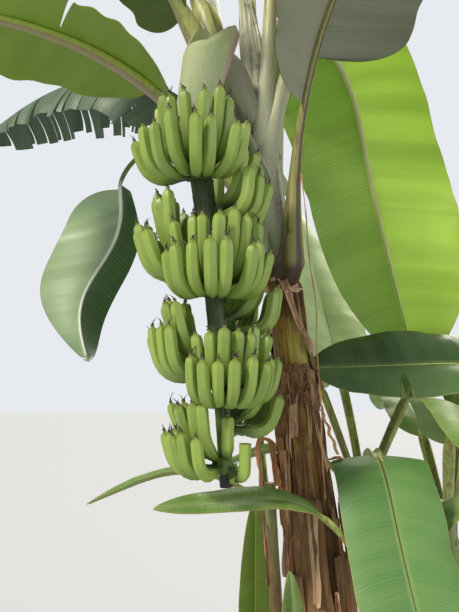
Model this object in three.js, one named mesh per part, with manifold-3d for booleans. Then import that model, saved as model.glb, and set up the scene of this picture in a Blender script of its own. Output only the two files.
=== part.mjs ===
/**
 * A fruiting banana plant with the followers that grow from the same root.
 * Millimetres, +Z up. The origin is the middle of the main pseudostem's flat foot, at ground level.
 * The bunch hangs towards -Y and -X of the main pseudostem.
 */
import * as THREE from "three";
import { mergeVertices } from "three/addons/utils/BufferGeometryUtils.js";
import Module from "manifold-3d";

const wasm = await Module();
wasm.setup();

// Space left between two pieces that touch, and the distance under which two corners are one
const CLEAR = 0.5;
const WELD = 0.01;
const DEGREE = Math.PI / 180;

// Pseudostems: where each stands, how far it leans for each unit of height, and its girth.
// The girth narrows between two heights, and the foot swells over the corm.
const STEMS = {
  main: {
    foot: [0, 0], lean: [-0.12, -0.045], height: 2440, footRadius: 88, throatRadius: 45,
    narrowsFrom: 700, narrowsTo: 1900, swell: 36, swellHeight: 150, sides: 16, rings: 14,
  },
  follower_1: {
    foot: [205, 290], lean: [-0.1, -0.083], height: 1090, footRadius: 52, throatRadius: 30,
    narrowsFrom: 150, narrowsTo: 1000, swell: 22, swellHeight: 90, sides: 10, rings: 7,
  },
  follower_2: {
    foot: [480, 280], lean: [-0.1, -0.083], height: 957, footRadius: 46, throatRadius: 29,
    narrowsFrom: 150, narrowsTo: 880, swell: 20, swellHeight: 80, sides: 10, rings: 7,
  },
  follower_3: {
    foot: [820, 70], lean: [-0.08, -0.03], height: 1060, footRadius: 50, throatRadius: 30,
    narrowsFrom: 150, narrowsTo: 900, swell: 22, swellHeight: 90, sides: 10, rings: 7,
  },
  follower_4: {
    foot: [-190, 310], lean: [-0.035, -0.065], height: 1010, footRadius: 36, throatRadius: 20,
    narrowsFrom: 100, narrowsTo: 950, swell: 16, swellHeight: 70, sides: 8, rings: 7,
  },
  follower_5: {
    foot: [120, -160], lean: [-0.07, -0.06], height: 790, footRadius: 30, throatRadius: 18,
    narrowsFrom: 80, narrowsTo: 650, swell: 14, swellHeight: 60, sides: 8, rings: 5,
  },
  sword_sucker: {
    foot: [-120, -255], lean: [-0.05, 0.03], height: 300, footRadius: 26, throatRadius: 15,
    narrowsFrom: 40, narrowsTo: 280, swell: 12, swellHeight: 50, sides: 8, rings: 4,
  },
};

// A leaf leaves its stem at a height and a compass angle (0 is +X, 90 is +Y) and rises at an angle
// that its weight turns down, by droop degrees, between two shares of its length. It swings
// sideways and rolls over as it goes. The fold lifts both halves of the blade above the rib, or
// drops them below it. Tears run in from the edge, and a blade that arches far is parted at a share.
const LEAVES = [
  { name: "leaf_overhead", stem: "main", height: 1735, compass: -66, rise: 86, droop: 104, bend: [0, 0.9],
    swing: 14, roll: -14, petiole: 490, blade: 1650, width: 560, radius: 19, fold: -16, parted: 0.6, tears: 2 },
  { name: "leaf_right", stem: "main", height: 2090, compass: 62, rise: 85, droop: 165, bend: [0.12, 0.56],
    swing: -40, roll: 54, petiole: 560, blade: 1620, width: 660, radius: 21, fold: -6, parted: 0.42, tears: 0 },
  { name: "leaf_left_front", stem: "main", height: 1915, compass: 172, rise: 62, droop: 80, bend: [0, 0.75],
    swing: 74, roll: 0, petiole: 450, blade: 1400, width: 520, radius: 22, fold: -10, parted: 0.6, tears: 2 },
  { name: "leaf_left_back", stem: "main", height: 2070, compass: 138, rise: 52, droop: 70, bend: [0, 1],
    swing: 10, petiole: 420, blade: 1550, width: 480, radius: 20, fold: -58, parted: 0.6, tears: 9 },
  { name: "leaf_left", stem: "main", height: 1830, compass: 145, rise: 53, droop: 135, bend: [0.23, 0.59],
    swing: 72, roll: -91, petiole: 746, blade: 640, width: 330, radius: 18, fold: 42, parted: 0.46, tears: 1 },
  { name: "leaf_left_high", stem: "main", height: 2030, compass: 198, rise: 70, droop: 84, bend: [0.1, 1],
    petiole: 560, blade: 1550, width: 540, radius: 24, fold: -10, parted: 0.62, tears: 2 },
  { name: "leaf_back_high", stem: "main", height: 2385, compass: 96, rise: 86, droop: 100, bend: [0.2, 1],
    petiole: 420, blade: 1500, width: 520, radius: 20, fold: -8, parted: 0.62, tears: 2 },
  { name: "leaf_back", stem: "main", height: 2270, compass: 146, rise: 72, droop: 105, bend: [0.3, 1],
    petiole: 500, blade: 1600, width: 540, radius: 28, fold: -12, parted: 0.55, tears: 3 },
  { name: "leaf_front_high", stem: "main", height: 2350, compass: -62, rise: 84, droop: 96, bend: [0.2, 1],
    petiole: 400, blade: 1400, width: 500, radius: 20, fold: -10, parted: 0.62, tears: 2 },
  { name: "leaf_right_high", stem: "main", height: 2230, compass: -44, rise: 70, droop: 110, bend: [0.2, 1],
    petiole: 420, blade: 1550, width: 540, radius: 20, fold: -10, parted: 0.62, tears: 2 },

  { name: "follower_1_leaf_right", stem: "follower_1", height: 1040, compass: 34, rise: 54, droop: 60,
    bend: [0.2, 1], petiole: 330, blade: 760, width: 240, radius: 14, fold: 10 },
  { name: "follower_1_leaf_high", stem: "follower_1", height: 1080, compass: 92, rise: 59, droop: 0,
    bend: [0.3, 1], swing: 30, petiole: 360, blade: 980, width: 200, radius: 12, fold: 24, roll: -30 },
  { name: "follower_1_leaf_left", stem: "follower_1", height: 1070, compass: 138, rise: 68, droop: 16,
    bend: [0.3, 1], petiole: 300, blade: 400, width: 120, radius: 11, fold: 30, roll: -30 },
  { name: "follower_1_leaf_low", stem: "follower_1", height: 1010, compass: 184, rise: 46, droop: 62,
    bend: [0, 0.8], petiole: 150, blade: 360, width: 120, radius: 10, fold: 20 },
  { name: "follower_1_leaf_front", stem: "follower_1", height: 1030, compass: -96, rise: 50, droop: 108,
    bend: [0, 0.4], swing: 22, petiole: 270, blade: 960, width: 290, radius: 15, fold: -4 },
  { name: "follower_2_leaf_high", stem: "follower_2", height: 950, compass: 36, rise: 76, droop: 66,
    bend: [0.1, 1], petiole: 330, blade: 560, width: 200, radius: 14, fold: 20 },
  { name: "follower_2_leaf_right", stem: "follower_2", height: 900, compass: -104, rise: 66, droop: 100,
    bend: [0.1, 1], petiole: 300, blade: 640, width: 210, radius: 14, fold: 10 },
  { name: "follower_2_leaf_back", stem: "follower_2", height: 925, compass: 88, rise: 52, droop: 75,
    bend: [0.1, 1], petiole: 300, blade: 800, width: 240, radius: 14, fold: 10 },
  { name: "follower_3_leaf_left", stem: "follower_3", height: 1030, compass: 178, rise: 78, droop: 80,
    bend: [0.12, 0.6], petiole: 400, blade: 650, width: 290, radius: 14, fold: 4, roll: 54, tears: 1 },
  { name: "follower_3_leaf_front", stem: "follower_3", height: 980, compass: -70, rise: 64, droop: 100,
    bend: [0.1, 1], petiole: 300, blade: 800, width: 260, radius: 14, fold: 8 },
  { name: "follower_3_leaf_right", stem: "follower_3", height: 1000, compass: 34, rise: 66, droop: 96,
    bend: [0.1, 1], petiole: 300, blade: 850, width: 270, radius: 14, fold: 8 },
  { name: "follower_4_leaf_left", stem: "follower_4", height: 950, compass: 184, rise: 32, droop: 54,
    bend: [0, 0.8], petiole: 160, blade: 500, width: 130, radius: 8, fold: 14 },
  { name: "follower_4_leaf_high", stem: "follower_4", height: 980, compass: 112, rise: 76, droop: 40,
    bend: [0.2, 1], petiole: 240, blade: 620, width: 190, radius: 9, fold: 14 },
  { name: "follower_4_leaf_hanging", stem: "follower_4", height: 900, compass: -124, rise: 62, droop: 150,
    bend: [0, 0.26], petiole: 150, blade: 640, width: 120, radius: 8, fold: 10 },
  { name: "follower_5_leaf_left", stem: "follower_5", height: 775, compass: 184, rise: 66, droop: 68,
    bend: [0.05, 0.7], swing: 16, petiole: 270, blade: 480, width: 110, radius: 8, fold: 6, roll: 24 },
  { name: "follower_5_leaf_right", stem: "follower_5", height: 735, compass: 20, rise: 60, droop: 80,
    bend: [0.1, 1], petiole: 180, blade: 450, width: 130, radius: 8, fold: 12 },
  { name: "sword_leaf", stem: "sword_sucker", height: 285, compass: 172, rise: 84, droop: -4,
    bend: [0.2, 1], petiole: 130, blade: 440, width: 90, radius: 8, fold: 16, roll: 60 },
];

// Dead, hanging stalks: dried strips that a petiole or an old sheath has left
const DRY_STALKS = [
  { name: "dry_stalk_left", stem: "main", height: 1040, compass: 186, rise: 76, droop: 172,
    bend: [0.2, 0.34], swing: 0, length: 590, radius: 9 },
  { name: "dry_stalk_right", stem: "main", height: 1130, compass: -20, rise: 60, droop: 150,
    bend: [0, 0.2], swing: 0, length: 330, radius: 7 },
];

// The fruit stalk: out of the throat, over in an arch, and down through the hands to its cut end
const PEDUNCLE = {
  height: 2290, compass: 230, rise: 66, climb: 140, fall: 330,
  radiusAtThroat: 38, radiusAtFruit: 34, sides: 10, rings: 12,
};
const RACHIS = {
  top: [-466, -300, 2050], belly: [-404, -312, 1640], end: [-378, -296, 1085],
  topRadius: 34, endRadius: 18, sides: 10, rings: 12,
};

// Hands of fruit from the top: how high each leaves the stalk, which way it faces, how far round
// the stalk it spreads, and how much longer or shorter its fingers are than its place would make them
const HANDS = [
  { height: 1950, compass: -104, spread: 56, reach: 0.96 }, { height: 1835, compass: 16, spread: 58, reach: 0.9 },
  { height: 1680, compass: 168, spread: 42, reach: 1.09 }, { height: 1616, compass: -83, spread: 56, reach: 1 },
  { height: 1520, compass: 38, spread: 52, reach: 1 }, { height: 1396, compass: 175, spread: 47, reach: 1.1 },
  { height: 1330, compass: -70, spread: 53, reach: 1 }, { height: 1245, compass: 50, spread: 46, reach: 1 },
  { height: 1144, compass: 178, spread: 48, reach: 1.12 },
];
const HAND = { longest: 262, shortest: 206, fattest: 19.5, slimmest: 18 };
const CUSHION = { height: 40, thickness: 15, gap: 4 };
// Each hand has two rows of fingers. They leave the cushion at an angle and curl up to the light.
const FINGER_ROWS = [
  { count: 8, lift: -8, leaves: -8, curls: 96, bend: [0.2, 0.84], share: 1, spread: 1, rings: 4 },
  { count: 6, lift: 14, leaves: 30, curls: 56, bend: [0.1, 0.8], share: 0.94, spread: 0.86, rings: 3 },
];
const FINGER = { sides: 5, sunk: 11 };
const LAST_FINGER = { height: 1118, compass: -24, length: 118, radius: 15 };

// The pale bract that is left round the stalk above the first hand
const BRACT = { low: 2130, high: 2375, lip: 70, radius: 56, flare: 30, thickness: 5, halfTurn: 112, facing: -122, slant: 0.06 };

const LINE_STEPS = 160;
const THICK_SHARE = 0.01; // of a blade's length
const TEAR = { root: 0.14, gap: 0.012, first: 0.16, last: 0.93, depth: 60 };
// Where a leaf's rings stand: shares of the petiole, then shares of the blade
const PETIOLE_RINGS = [0, 0.34, 0.68, 1];
const BLADE_RINGS = [0.02, 0.07, 0.15, 0.28, 0.42, 0.56, 0.69, 0.8, 0.89, 0.955, 1];
const FEW_BLADE_RINGS = [0.03, 0.12, 0.3, 0.5, 0.68, 0.83, 0.94, 1];
const SMALL_BLADE = 700;

const COLOURS = {
  oldSheath: [0x7a5a3a, 0.85], stem: [0x8a9a4c, 0.55], leaf: [0x5f9a35, 0.45], youngLeaf: [0x74a845, 0.45],
  stalk: [0x5f8a3a, 0.5], fruit: [0x8fbf45, 0.45], bract: [0xb9cc93, 0.6], dry: [0xa9794a, 0.9],
};

const mix = (a, b, share) => a + (b - a) * share;
const clamped = (x) => Math.min(1, Math.max(0, x));
const smooth = (from, to, x) => {
  const t = clamped((x - from) / (to - from));
  return t * t * (3 - 2 * t);
};

/** A seeded stream of numbers between 0 and 1. */
function seeded(seed) {
  let state = seed >>> 0;
  return () => {
    state = (Math.imul(state, 1664525) + 1013904223) >>> 0;
    return state / 4294967296;
  };
}

/** Moves every corner of a geometry with move(corner) and welds those that then meet. */
function shaped(geometry, move) {
  const spots = geometry.getAttribute("position");
  const corner = new THREE.Vector3();
  for (let i = 0; i < spots.count; i++) {
    move(corner.fromBufferAttribute(spots, i));
    spots.setXYZ(i, corner.x, corner.y, corner.z);
  }
  geometry.deleteAttribute("normal");
  geometry.deleteAttribute("uv");
  return mergeVertices(geometry, WELD);
}

function solidOf(geometry) {
  return new wasm.Manifold(
    new wasm.Mesh({
      numProp: 3,
      vertProperties: new Float32Array(geometry.getAttribute("position").array),
      triVerts: new Uint32Array(geometry.index.array),
    }),
  );
}

function geometryOf(solid) {
  const made = solid.getMesh();
  const corners = new Float32Array(made.numVert * 3);
  for (let i = 0; i < made.numVert; i++) {
    corners.set(made.vertProperties.subarray(i * made.numProp, i * made.numProp + 3), i * 3);
  }
  return new THREE.BufferGeometry()
    .setAttribute("position", new THREE.BufferAttribute(corners, 3))
    .setIndex(new THREE.BufferAttribute(made.triVerts, 1));
}

/** The middle and the radius of a pseudostem at a height. */
function stemAt(stem, height) {
  const swell = stem.swell * Math.exp(-((height / stem.swellHeight) ** 1.5));
  return {
    middle: new THREE.Vector3(
      stem.foot[0] + stem.lean[0] * height, stem.foot[1] + stem.lean[1] * height, height,
    ),
    radius: mix(stem.footRadius, stem.throatRadius, smooth(stem.narrowsFrom, stem.narrowsTo, height)) + swell,
  };
}

function pseudostem(stem) {
  const column = new THREE.CylinderGeometry(1, 1, 1, stem.sides, stem.rings).rotateX(Math.PI / 2);
  return shaped(column, (v) => {
    const height = stem.height * clamped(v.z + 0.5) ** 1.3;
    const { middle, radius } = stemAt(stem, height);
    v.set(middle.x + v.x * radius, middle.y + v.y * radius, height);
  });
}

/** A line that starts at an angle and is turned by weight: gives its place and frame at a share. */
function bentLine({ base, compass, rise, droop, bend, swing = 0, roll = 0, length }) {
  const heading = (share) => {
    const climb = (rise - droop * smooth(bend[0], bend[1], share)) * DEGREE;
    const turn = (compass + swing * share) * DEGREE;
    const level = new THREE.Vector3(Math.cos(turn), Math.sin(turn), 0);
    return {
      along: level.clone().multiplyScalar(Math.cos(climb)).setZ(Math.sin(climb)),
      face: level.clone().multiplyScalar(-Math.sin(climb)).setZ(Math.cos(climb)),
      side: new THREE.Vector3(-level.y, level.x, 0),
    };
  };
  const places = [base.clone()];
  for (let i = 0; i < LINE_STEPS; i++) {
    const { along } = heading((i + 0.5) / LINE_STEPS);
    places.push(places[i].clone().addScaledVector(along, length / LINE_STEPS));
  }
  return (share) => {
    const step = Math.min(LINE_STEPS - 1, Math.floor(clamped(share) * LINE_STEPS));
    const { along, face, side } = heading(clamped(share));
    const over = roll * DEGREE * smooth(0.1, 0.7, share);
    return {
      at: places[step].clone().lerp(places[step + 1], clamped(share) * LINE_STEPS - step),
      along,
      side: side.clone().multiplyScalar(Math.cos(over)).addScaledVector(face, -Math.sin(over)),
      face: face.clone().multiplyScalar(Math.cos(over)).addScaledVector(side, Math.sin(over)),
    };
  };
}

/** Where a stalk of a given radius starts, clear of its stem's skin. */
function baseOnStem({ stem, height, compass, rise, radius }) {
  const { middle, radius: girth } = stemAt(STEMS[stem], height);
  const out = girth + radius * 1.25 * Math.sin(rise * DEGREE) + 4;
  const turn = compass * DEGREE;
  return middle.add(new THREE.Vector3(Math.cos(turn) * out, Math.sin(turn) * out, 0));
}

/** Half the blade's width at a share of the blade: a round heel, long even sides and a blunt tip. */
function halfWidth(leaf, share) {
  const heel = Math.sqrt(1 - (1 - clamped(share / 0.13)) ** 2);
  const tip = (1 - clamped((share - 0.42) / 0.58) ** 2.3) ** 0.66;
  return Math.max(5, (leaf.width / 2) * heel * tip);
}

/** A corner of a leaf's ring, across and above its line. x is -1, 0 or 1 at an edge or the middle. */
function leafCorner(leaf, x, y, blade) {
  const stalk = leaf.radius * mix(1.25, 1, smooth(-leaf.petiole / leaf.blade, 0, blade));
  const half = leaf.thickness / 2;
  const rib = mix(leaf.radius * 0.7, 3, clamped(blade) ** 0.8);
  const fold = leaf.fold * DEGREE;
  const onEdge = Math.abs(x) > 0.5;
  const corner = onEdge
    ? [[x * stalk, y > 0 ? stalk * 0.75 : 0], [x * halfWidth(leaf, blade) * Math.cos(fold),
      halfWidth(leaf, blade) * Math.sin(fold) + y * half]]
    : x
      ? [[x * 2.5 * stalk, -stalk * 0.7], [x * 3.3 * rib, -half + rib * Math.tan(Math.min(0, fold))]]
      : y < 0
        ? [[0, -stalk], [0, -half - rib]]
        : [[0, stalk * 0.1], [0, half]];
  const opened = smooth(-0.01, 0.03, blade);
  return [mix(corner[0][0], corner[1][0], opened), mix(corner[0][1], corner[1][1], opened)];
}

const LEAF_RING = new THREE.Shape(
  [[-1, 1], [-1, -1], [-0.3, -1], [0, -2], [0.3, -1], [1, -1], [1, 1], [0, 0]]
    .map(([x, y]) => new THREE.Vector2(x, y)),
);

/** Cuts the under side's quads along the same diagonal as the upper side's, so that a twisted blade's two faces don't cross. */
function alignDiagonals(strip) {
  const spots = strip.getAttribute("position");
  const walls = strip.groups[1];
  const quad = Array.from({ length: 6 }, () => new THREE.Vector3());
  for (let i = walls.start; i < walls.start + walls.count; i += 6) {
    quad.forEach((corner, k) => corner.fromBufferAttribute(spots, i + k));
    const [a, b, , , c] = quad;
    if (Math.max(a.y, b.y) >= 0) continue;
    spots.setXYZ(i + 2, c.x, c.y, c.z);
    spots.setXYZ(i + 3, a.x, a.y, a.z);
  }
  return strip;
}

/** One stretch of a leaf, through the rings at the given shares of its whole length. */
function leafStretch(leaf, shares) {
  const strip = new THREE.ExtrudeGeometry(LEAF_RING, {
    steps: shares.length - 1, depth: shares.length - 1, bevelEnabled: false,
  });
  return solidOf(shaped(alignDiagonals(strip), (v) => {
    const share = shares[Math.round(v.z)];
    const blade = (share * leaf.length - leaf.petiole) / leaf.blade;
    const [across, above] = leafCorner(leaf, v.x, v.y, blade);
    const { at, side, face } = leaf.line(share);
    v.copy(at).addScaledVector(side, across).addScaledVector(face, above);
  }));
}

/** The wedge that a tear takes out of one half of a blade, from near the rib to past the edge. */
function tearWedge(leaf, blade, hand) {
  const wedge = new THREE.BoxGeometry(1, 1, 1);
  return solidOf(shaped(wedge, (v) => {
    const out = v.x > 0 ? 1.25 : TEAR.root;
    const place = blade + Math.sign(v.z) * TEAR.gap * (v.x > 0 ? 1.3 : 0.12);
    const { at, side, face } = leaf.line((leaf.petiole + place * leaf.blade) / leaf.length);
    const reach = out * halfWidth(leaf, blade);
    const above = reach * Math.sin(leaf.fold * DEGREE) + v.y * hand * TEAR.depth;
    v.copy(at).addScaledVector(side, hand * reach * Math.cos(leaf.fold * DEGREE)).addScaledVector(face, above);
  }));
}

/** The places of a leaf's tears along its blade, by a seeded rule. */
function tearPlaces(leaf, seed) {
  const random = seeded(seed);
  const count = leaf.tears ?? 0;
  return Array.from({ length: count }, (_, i) => ({
    blade: mix(TEAR.first, TEAR.last, (i + 0.25 + 0.5 * random()) / count),
    hand: count > 4 ? 0 : random() < 0.5 ? -1 : 1,
  }));
}

/** A leaf's solids by name: one, or two where the blade is parted at its bend. */
function leafSolids(spec, seed) {
  const leaf = { ...spec, length: spec.petiole + spec.blade, thickness: spec.blade * THICK_SHARE };
  leaf.line = bentLine({ ...leaf, base: baseOnStem(leaf) });
  const rings = leaf.blade > SMALL_BLADE ? BLADE_RINGS : FEW_BLADE_RINGS;
  const shares = [
    ...PETIOLE_RINGS.map((s) => (s * leaf.petiole) / leaf.length),
    ...rings.map((s) => (leaf.petiole + s * leaf.blade) / leaf.length),
  ];
  const parts = leaf.parted
    ? {
        [leaf.name + "_inner"]: [...shares.filter((s) => s < leaf.parted - 0.01), leaf.parted],
        [leaf.name + "_outer"]: [
          leaf.parted + (2 * CLEAR) / leaf.length, ...shares.filter((s) => s > leaf.parted + 0.01),
        ],
      }
    : { [leaf.name]: shares };
  const tears = tearPlaces(leaf, seed).flatMap(({ blade, hand }) =>
    (hand ? [hand] : [-1, 1]).map((h) => tearWedge(leaf, blade, h)),
  );
  return Object.entries(parts).map(([name, stations]) => [
    name,
    tears.reduce((solid, wedge) => solid.subtract(wedge), leafStretch(leaf, stations)),
  ]);
}

/** A round limb along a line, its radius set by thick(share). */
function limb(line, thick, sides, rings) {
  const column = new THREE.CylinderGeometry(1, 1, 1, sides, rings).rotateX(Math.PI / 2);
  return shaped(column, (v) => {
    const share = clamped(v.z + 0.5);
    const { at, side, face } = line(share);
    const [across, above] = [v.x * thick(share), v.y * thick(share)];
    v.copy(at).addScaledVector(side, across).addScaledVector(face, above);
  });
}

/** The line of a three.js curve with a side and a face that don't twist. */
function curveLine(curve, rings) {
  const { normals, binormals } = curve.computeFrenetFrames(rings, false);
  return (share) => {
    const ring = Math.round(share * rings);
    return { at: curve.getPointAt(share), side: normals[ring], face: binormals[ring] };
  };
}

function dryStalk(spec) {
  const line = bentLine({ ...spec, base: baseOnStem(spec) });
  return limb(line, (share) => spec.radius * mix(1, 0.3, share), 5, 10);
}

const rachisCurve = new THREE.QuadraticBezierCurve3(
  ...[RACHIS.top, RACHIS.belly, RACHIS.end].map((p) => new THREE.Vector3(...p)),
);

function peduncleCurve() {
  const { height, compass, rise, climb, fall, radiusAtThroat } = PEDUNCLE;
  const foot = { stem: "main", height, compass, rise, radius: radiusAtThroat };
  const throat = bentLine({ ...foot, base: baseOnStem(foot), droop: 0, bend: [0, 1], length: climb });
  const fruit = rachisCurve.getPoint(0).addScaledVector(rachisCurve.getTangent(0), -2 * CLEAR);
  return new THREE.CubicBezierCurve3(
    throat(0).at,
    throat(1).at,
    fruit.clone().addScaledVector(rachisCurve.getTangent(0), -fall),
    fruit,
  );
}

function peduncle() {
  return limb(
    curveLine(peduncleCurve(), PEDUNCLE.rings),
    (share) => mix(PEDUNCLE.radiusAtThroat, PEDUNCLE.radiusAtFruit, share),
    PEDUNCLE.sides,
    PEDUNCLE.rings,
  );
}

const rachisRadius = (share) => mix(RACHIS.topRadius, RACHIS.endRadius, share);

function rachis() {
  return limb(curveLine(rachisCurve, RACHIS.rings), rachisRadius, RACHIS.sides, RACHIS.rings);
}

/** The fruit stalk's middle and radius at a height. */
function rachisAt(height) {
  let [low, high] = [0, 1];
  while (high - low > 1e-4) {
    const share = (low + high) / 2;
    if (rachisCurve.getPointAt(share).z > height) low = share;
    else high = share;
  }
  return { middle: rachisCurve.getPointAt(low), radius: rachisRadius(low) };
}

/** A finger's radius at a share of its length: thin stalk, full body, short beak. */
function fingerRadius(share, radius) {
  const body = mix(0.46, 1, smooth(0.08, 0.38, share));
  const beak = mix(1, 0.36, smooth(0.76, 1, share) ** 1.6);
  return radius * body * beak;
}

/** One finger of fruit from its hand's cushion. */
function finger({ middle, compass, out, leaves, curls, bend, length, radius, rings }) {
  const turn = compass * DEGREE;
  const base = middle.clone().add(new THREE.Vector3(Math.cos(turn) * out, Math.sin(turn) * out, 0));
  const line = bentLine({ base, compass, rise: leaves, droop: -curls, bend, length });
  return solidOf(limb(line, (share) => fingerRadius(share, radius), FINGER.sides, rings));
}

/** The cushion that carries a hand: a stretch of thick ring round the fruit stalk. */
function cushion(middle, radius, compass, spread) {
  const [inner, outer] = [radius + CUSHION.gap, radius + CUSHION.gap + CUSHION.thickness];
  const [from, to] = [(compass - spread) * DEGREE, (compass + spread) * DEGREE];
  const sector = new THREE.Shape().absarc(0, 0, outer, from, to, false).absarc(0, 0, inner, to, from, true);
  const block = new THREE.ExtrudeGeometry(sector, {
    depth: CUSHION.height, steps: 1, curveSegments: 4, bevelEnabled: false,
  });
  return solidOf(shaped(block, (v) => v.add(middle).setZ(v.z - CUSHION.height / 2)));
}

/** A hand of fruit. share is 0 for the top hand, whose fingers are the longest, and 1 for the last. */
function hand({ height, compass, spread, reach }, share) {
  const { middle, radius: stalk } = rachisAt(height);
  const [length, radius] = [reach * mix(HAND.longest, HAND.shortest, share), mix(HAND.fattest, HAND.slimmest, share)];
  let solid = cushion(middle, stalk, compass, spread * 0.94);
  for (const row of FINGER_ROWS) {
    for (let i = 0; i < row.count; i++) {
      const along = row.count > 1 ? (2 * i) / (row.count - 1) - 1 : 0;
      solid = solid.add(finger({
        middle: middle.clone().setZ(height + row.lift),
        compass: compass + along * spread * row.spread,
        out: stalk + FINGER.sunk,
        leaves: row.leaves, curls: row.curls, bend: row.bend, rings: row.rings,
        length: length * row.share * (1 - 0.08 * along * along), radius,
      }));
    }
  }
  return solid;
}

/** The single finger that is left of the last hand. */
function lastFinger() {
  const { middle, radius } = rachisAt(LAST_FINGER.height);
  const stub = cushion(middle.clone(), radius, LAST_FINGER.compass, 20);
  return stub.add(finger({
    middle, compass: LAST_FINGER.compass, out: radius + FINGER.sunk, leaves: -22, curls: 108,
    bend: [0.1, 0.45], length: LAST_FINGER.length, radius: LAST_FINGER.radius, rings: 5,
  }));
}

/** The bract: a thin half pipe round the stalk, wider and cut slantwise at its top. */
function bract() {
  const sheet = new THREE.BoxGeometry(2, 1, 1, 10, 1, 4);
  return shaped(sheet, (v) => {
    const up = clamped(v.z + 0.5);
    const turn = (BRACT.facing - v.x * BRACT.halfTurn) * DEGREE;
    const height = mix(BRACT.low, BRACT.high + BRACT.lip * ((v.x + 0.25) / 1.25) ** 2, up);
    const stalk = peduncleAt(BRACT.low);
    const out = BRACT.radius + BRACT.flare * up + v.y * BRACT.thickness;
    v.set(stalk.x + (height - BRACT.low) * BRACT.slant + Math.cos(turn) * out, stalk.y + Math.sin(turn) * out, height);
  });
}

/** The middle of the arch's falling side at a height. */
function peduncleAt(height) {
  const curve = peduncleCurve();
  let [low, high] = [0.45, 1];
  while (high - low > 1e-4) {
    const share = (low + high) / 2;
    if (curve.getPointAt(share).z > height) low = share;
    else high = share;
  }
  return curve.getPointAt(low);
}

const plant = new THREE.Group();

function add(name, geometry, [colour, roughness]) {
  const mesh = new THREE.Mesh(
    geometry, new THREE.MeshStandardMaterial({ color: colour, roughness, metalness: 0 }),
  );
  mesh.name = name;
  plant.add(mesh);
}

for (const [name, stem] of Object.entries(STEMS)) {
  const colour = name === "main" ? COLOURS.oldSheath : COLOURS.stem;
  add(name === "sword_sucker" ? name : name + "_pseudostem", pseudostem(stem), colour);
}
LEAVES.forEach((leaf, i) => {
  const colour = leaf.stem === "main" ? COLOURS.leaf : COLOURS.youngLeaf;
  for (const [name, solid] of leafSolids(leaf, i + 1)) add(name, geometryOf(solid), colour);
});
for (const stalk of DRY_STALKS) add(stalk.name, dryStalk(stalk), COLOURS.dry);
add("fruit_stalk_arch", peduncle(), COLOURS.stalk);
add("fruit_stalk_fall", rachis(), COLOURS.stalk);
HANDS.forEach((place, i) => add(`hand_${i + 1}`, geometryOf(hand(place, i / (HANDS.length - 1))), COLOURS.fruit));
add("hand_10_last_finger", geometryOf(lastFinger()), COLOURS.fruit);
add("bract", bract(), COLOURS.bract);

export default plant;
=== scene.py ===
"""A fruiting banana plant with its followers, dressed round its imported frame. Metres, +Z up."""

import logging
import math
from collections.abc import Callable, Sequence
from dataclasses import dataclass, replace
from enum import Enum
from functools import cached_property

import bmesh
import bpy
import numpy as np
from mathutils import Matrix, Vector, noise


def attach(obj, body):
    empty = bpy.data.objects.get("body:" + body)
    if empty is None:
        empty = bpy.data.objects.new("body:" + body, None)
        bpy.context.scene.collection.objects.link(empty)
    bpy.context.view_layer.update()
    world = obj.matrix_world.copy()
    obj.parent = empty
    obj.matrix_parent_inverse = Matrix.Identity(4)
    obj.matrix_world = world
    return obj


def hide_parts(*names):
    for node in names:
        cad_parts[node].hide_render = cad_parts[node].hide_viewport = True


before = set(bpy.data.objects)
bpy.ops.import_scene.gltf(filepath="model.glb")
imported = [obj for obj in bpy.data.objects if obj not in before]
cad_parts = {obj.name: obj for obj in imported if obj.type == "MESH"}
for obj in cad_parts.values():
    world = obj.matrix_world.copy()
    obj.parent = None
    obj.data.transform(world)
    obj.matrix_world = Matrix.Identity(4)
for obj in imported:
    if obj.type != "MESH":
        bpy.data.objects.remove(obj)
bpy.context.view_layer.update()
log = logging.getLogger("banana_plant")

Colour = tuple[float, float, float, float]

# Values of the frame's own source, written again here
LINE_STEPS = 160  # straight steps that a bent line is walked in
THICK_SHARE = 0.01  # a solid blade's thickness, as a share of its length
SEAT_SHARE, SEAT_GAP = 1.25, 0.004  # how far out of its stem a stalk's base stands
TEAR_ROOT, TEAR_FIRST, TEAR_LAST = 0.14, 0.16, 0.93  # where tears end inwards, and the first and last of them
MANY_TEARS = 4  # with more tears than this, each runs through both halves

# Values of the dressed plant alone
TEAR_ROW, TEAR_NEAR, TEAR_CLEAR = 0.0006, 0.0008, 0.0035  # half a tear's row, what is in it, what keeps off
SWAY_PIVOT = 0.62  # the share of a swaying blade that has its own width
SMOOTH_ANGLE = 50  # degrees between faces that are shaded as one
SHEATH_ANGLE, FINGER_ANGLE, THREAD_ANGLE = 40, 24, 60  # the same on ragged sheaths, ridged fruit and threads
YOUNG_STOUT, YOUNG_SHEATH = 1.45, 0.14  # the followers' ribs, and how far down their leaves' sheaths run


def mix(start: float | np.ndarray, end: float | np.ndarray, share: float | np.ndarray) -> float | np.ndarray:
    """The value at a share of the way from start to end."""
    return start + (end - start) * share


def smooth(low: float, high: float, value: float | np.ndarray) -> np.ndarray:
    """Eases from 0 at low to 1 at high.

    Args:
        low: Where the step starts.
        high: Where it ends.
        value: One number or an array.

    Returns:
        The eased share, from 0 to 1.
    """
    share = np.clip((np.asarray(value, float) - low) / (high - low), 0, 1)
    return share * share * (3 - 2 * share)


def level(compass: float | np.ndarray) -> np.ndarray:
    """The level unit vector towards a compass angle in degrees, 0 being +X and 90 +Y."""
    turn = np.radians(compass)
    return np.stack([np.cos(turn), np.sin(turn), np.zeros_like(turn)], -1)


def paint(red: int, green: int, blue: int) -> Colour:
    """A linear colour from 0 to 255 display values."""
    def linear(value: int) -> float:
        """One channel, from display to linear."""
        share = value / 255
        return share / 12.92 if share <= 0.04045 else ((share + 0.055) / 1.055) ** 2.4
    return linear(red), linear(green), linear(blue), 1.0


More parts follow.
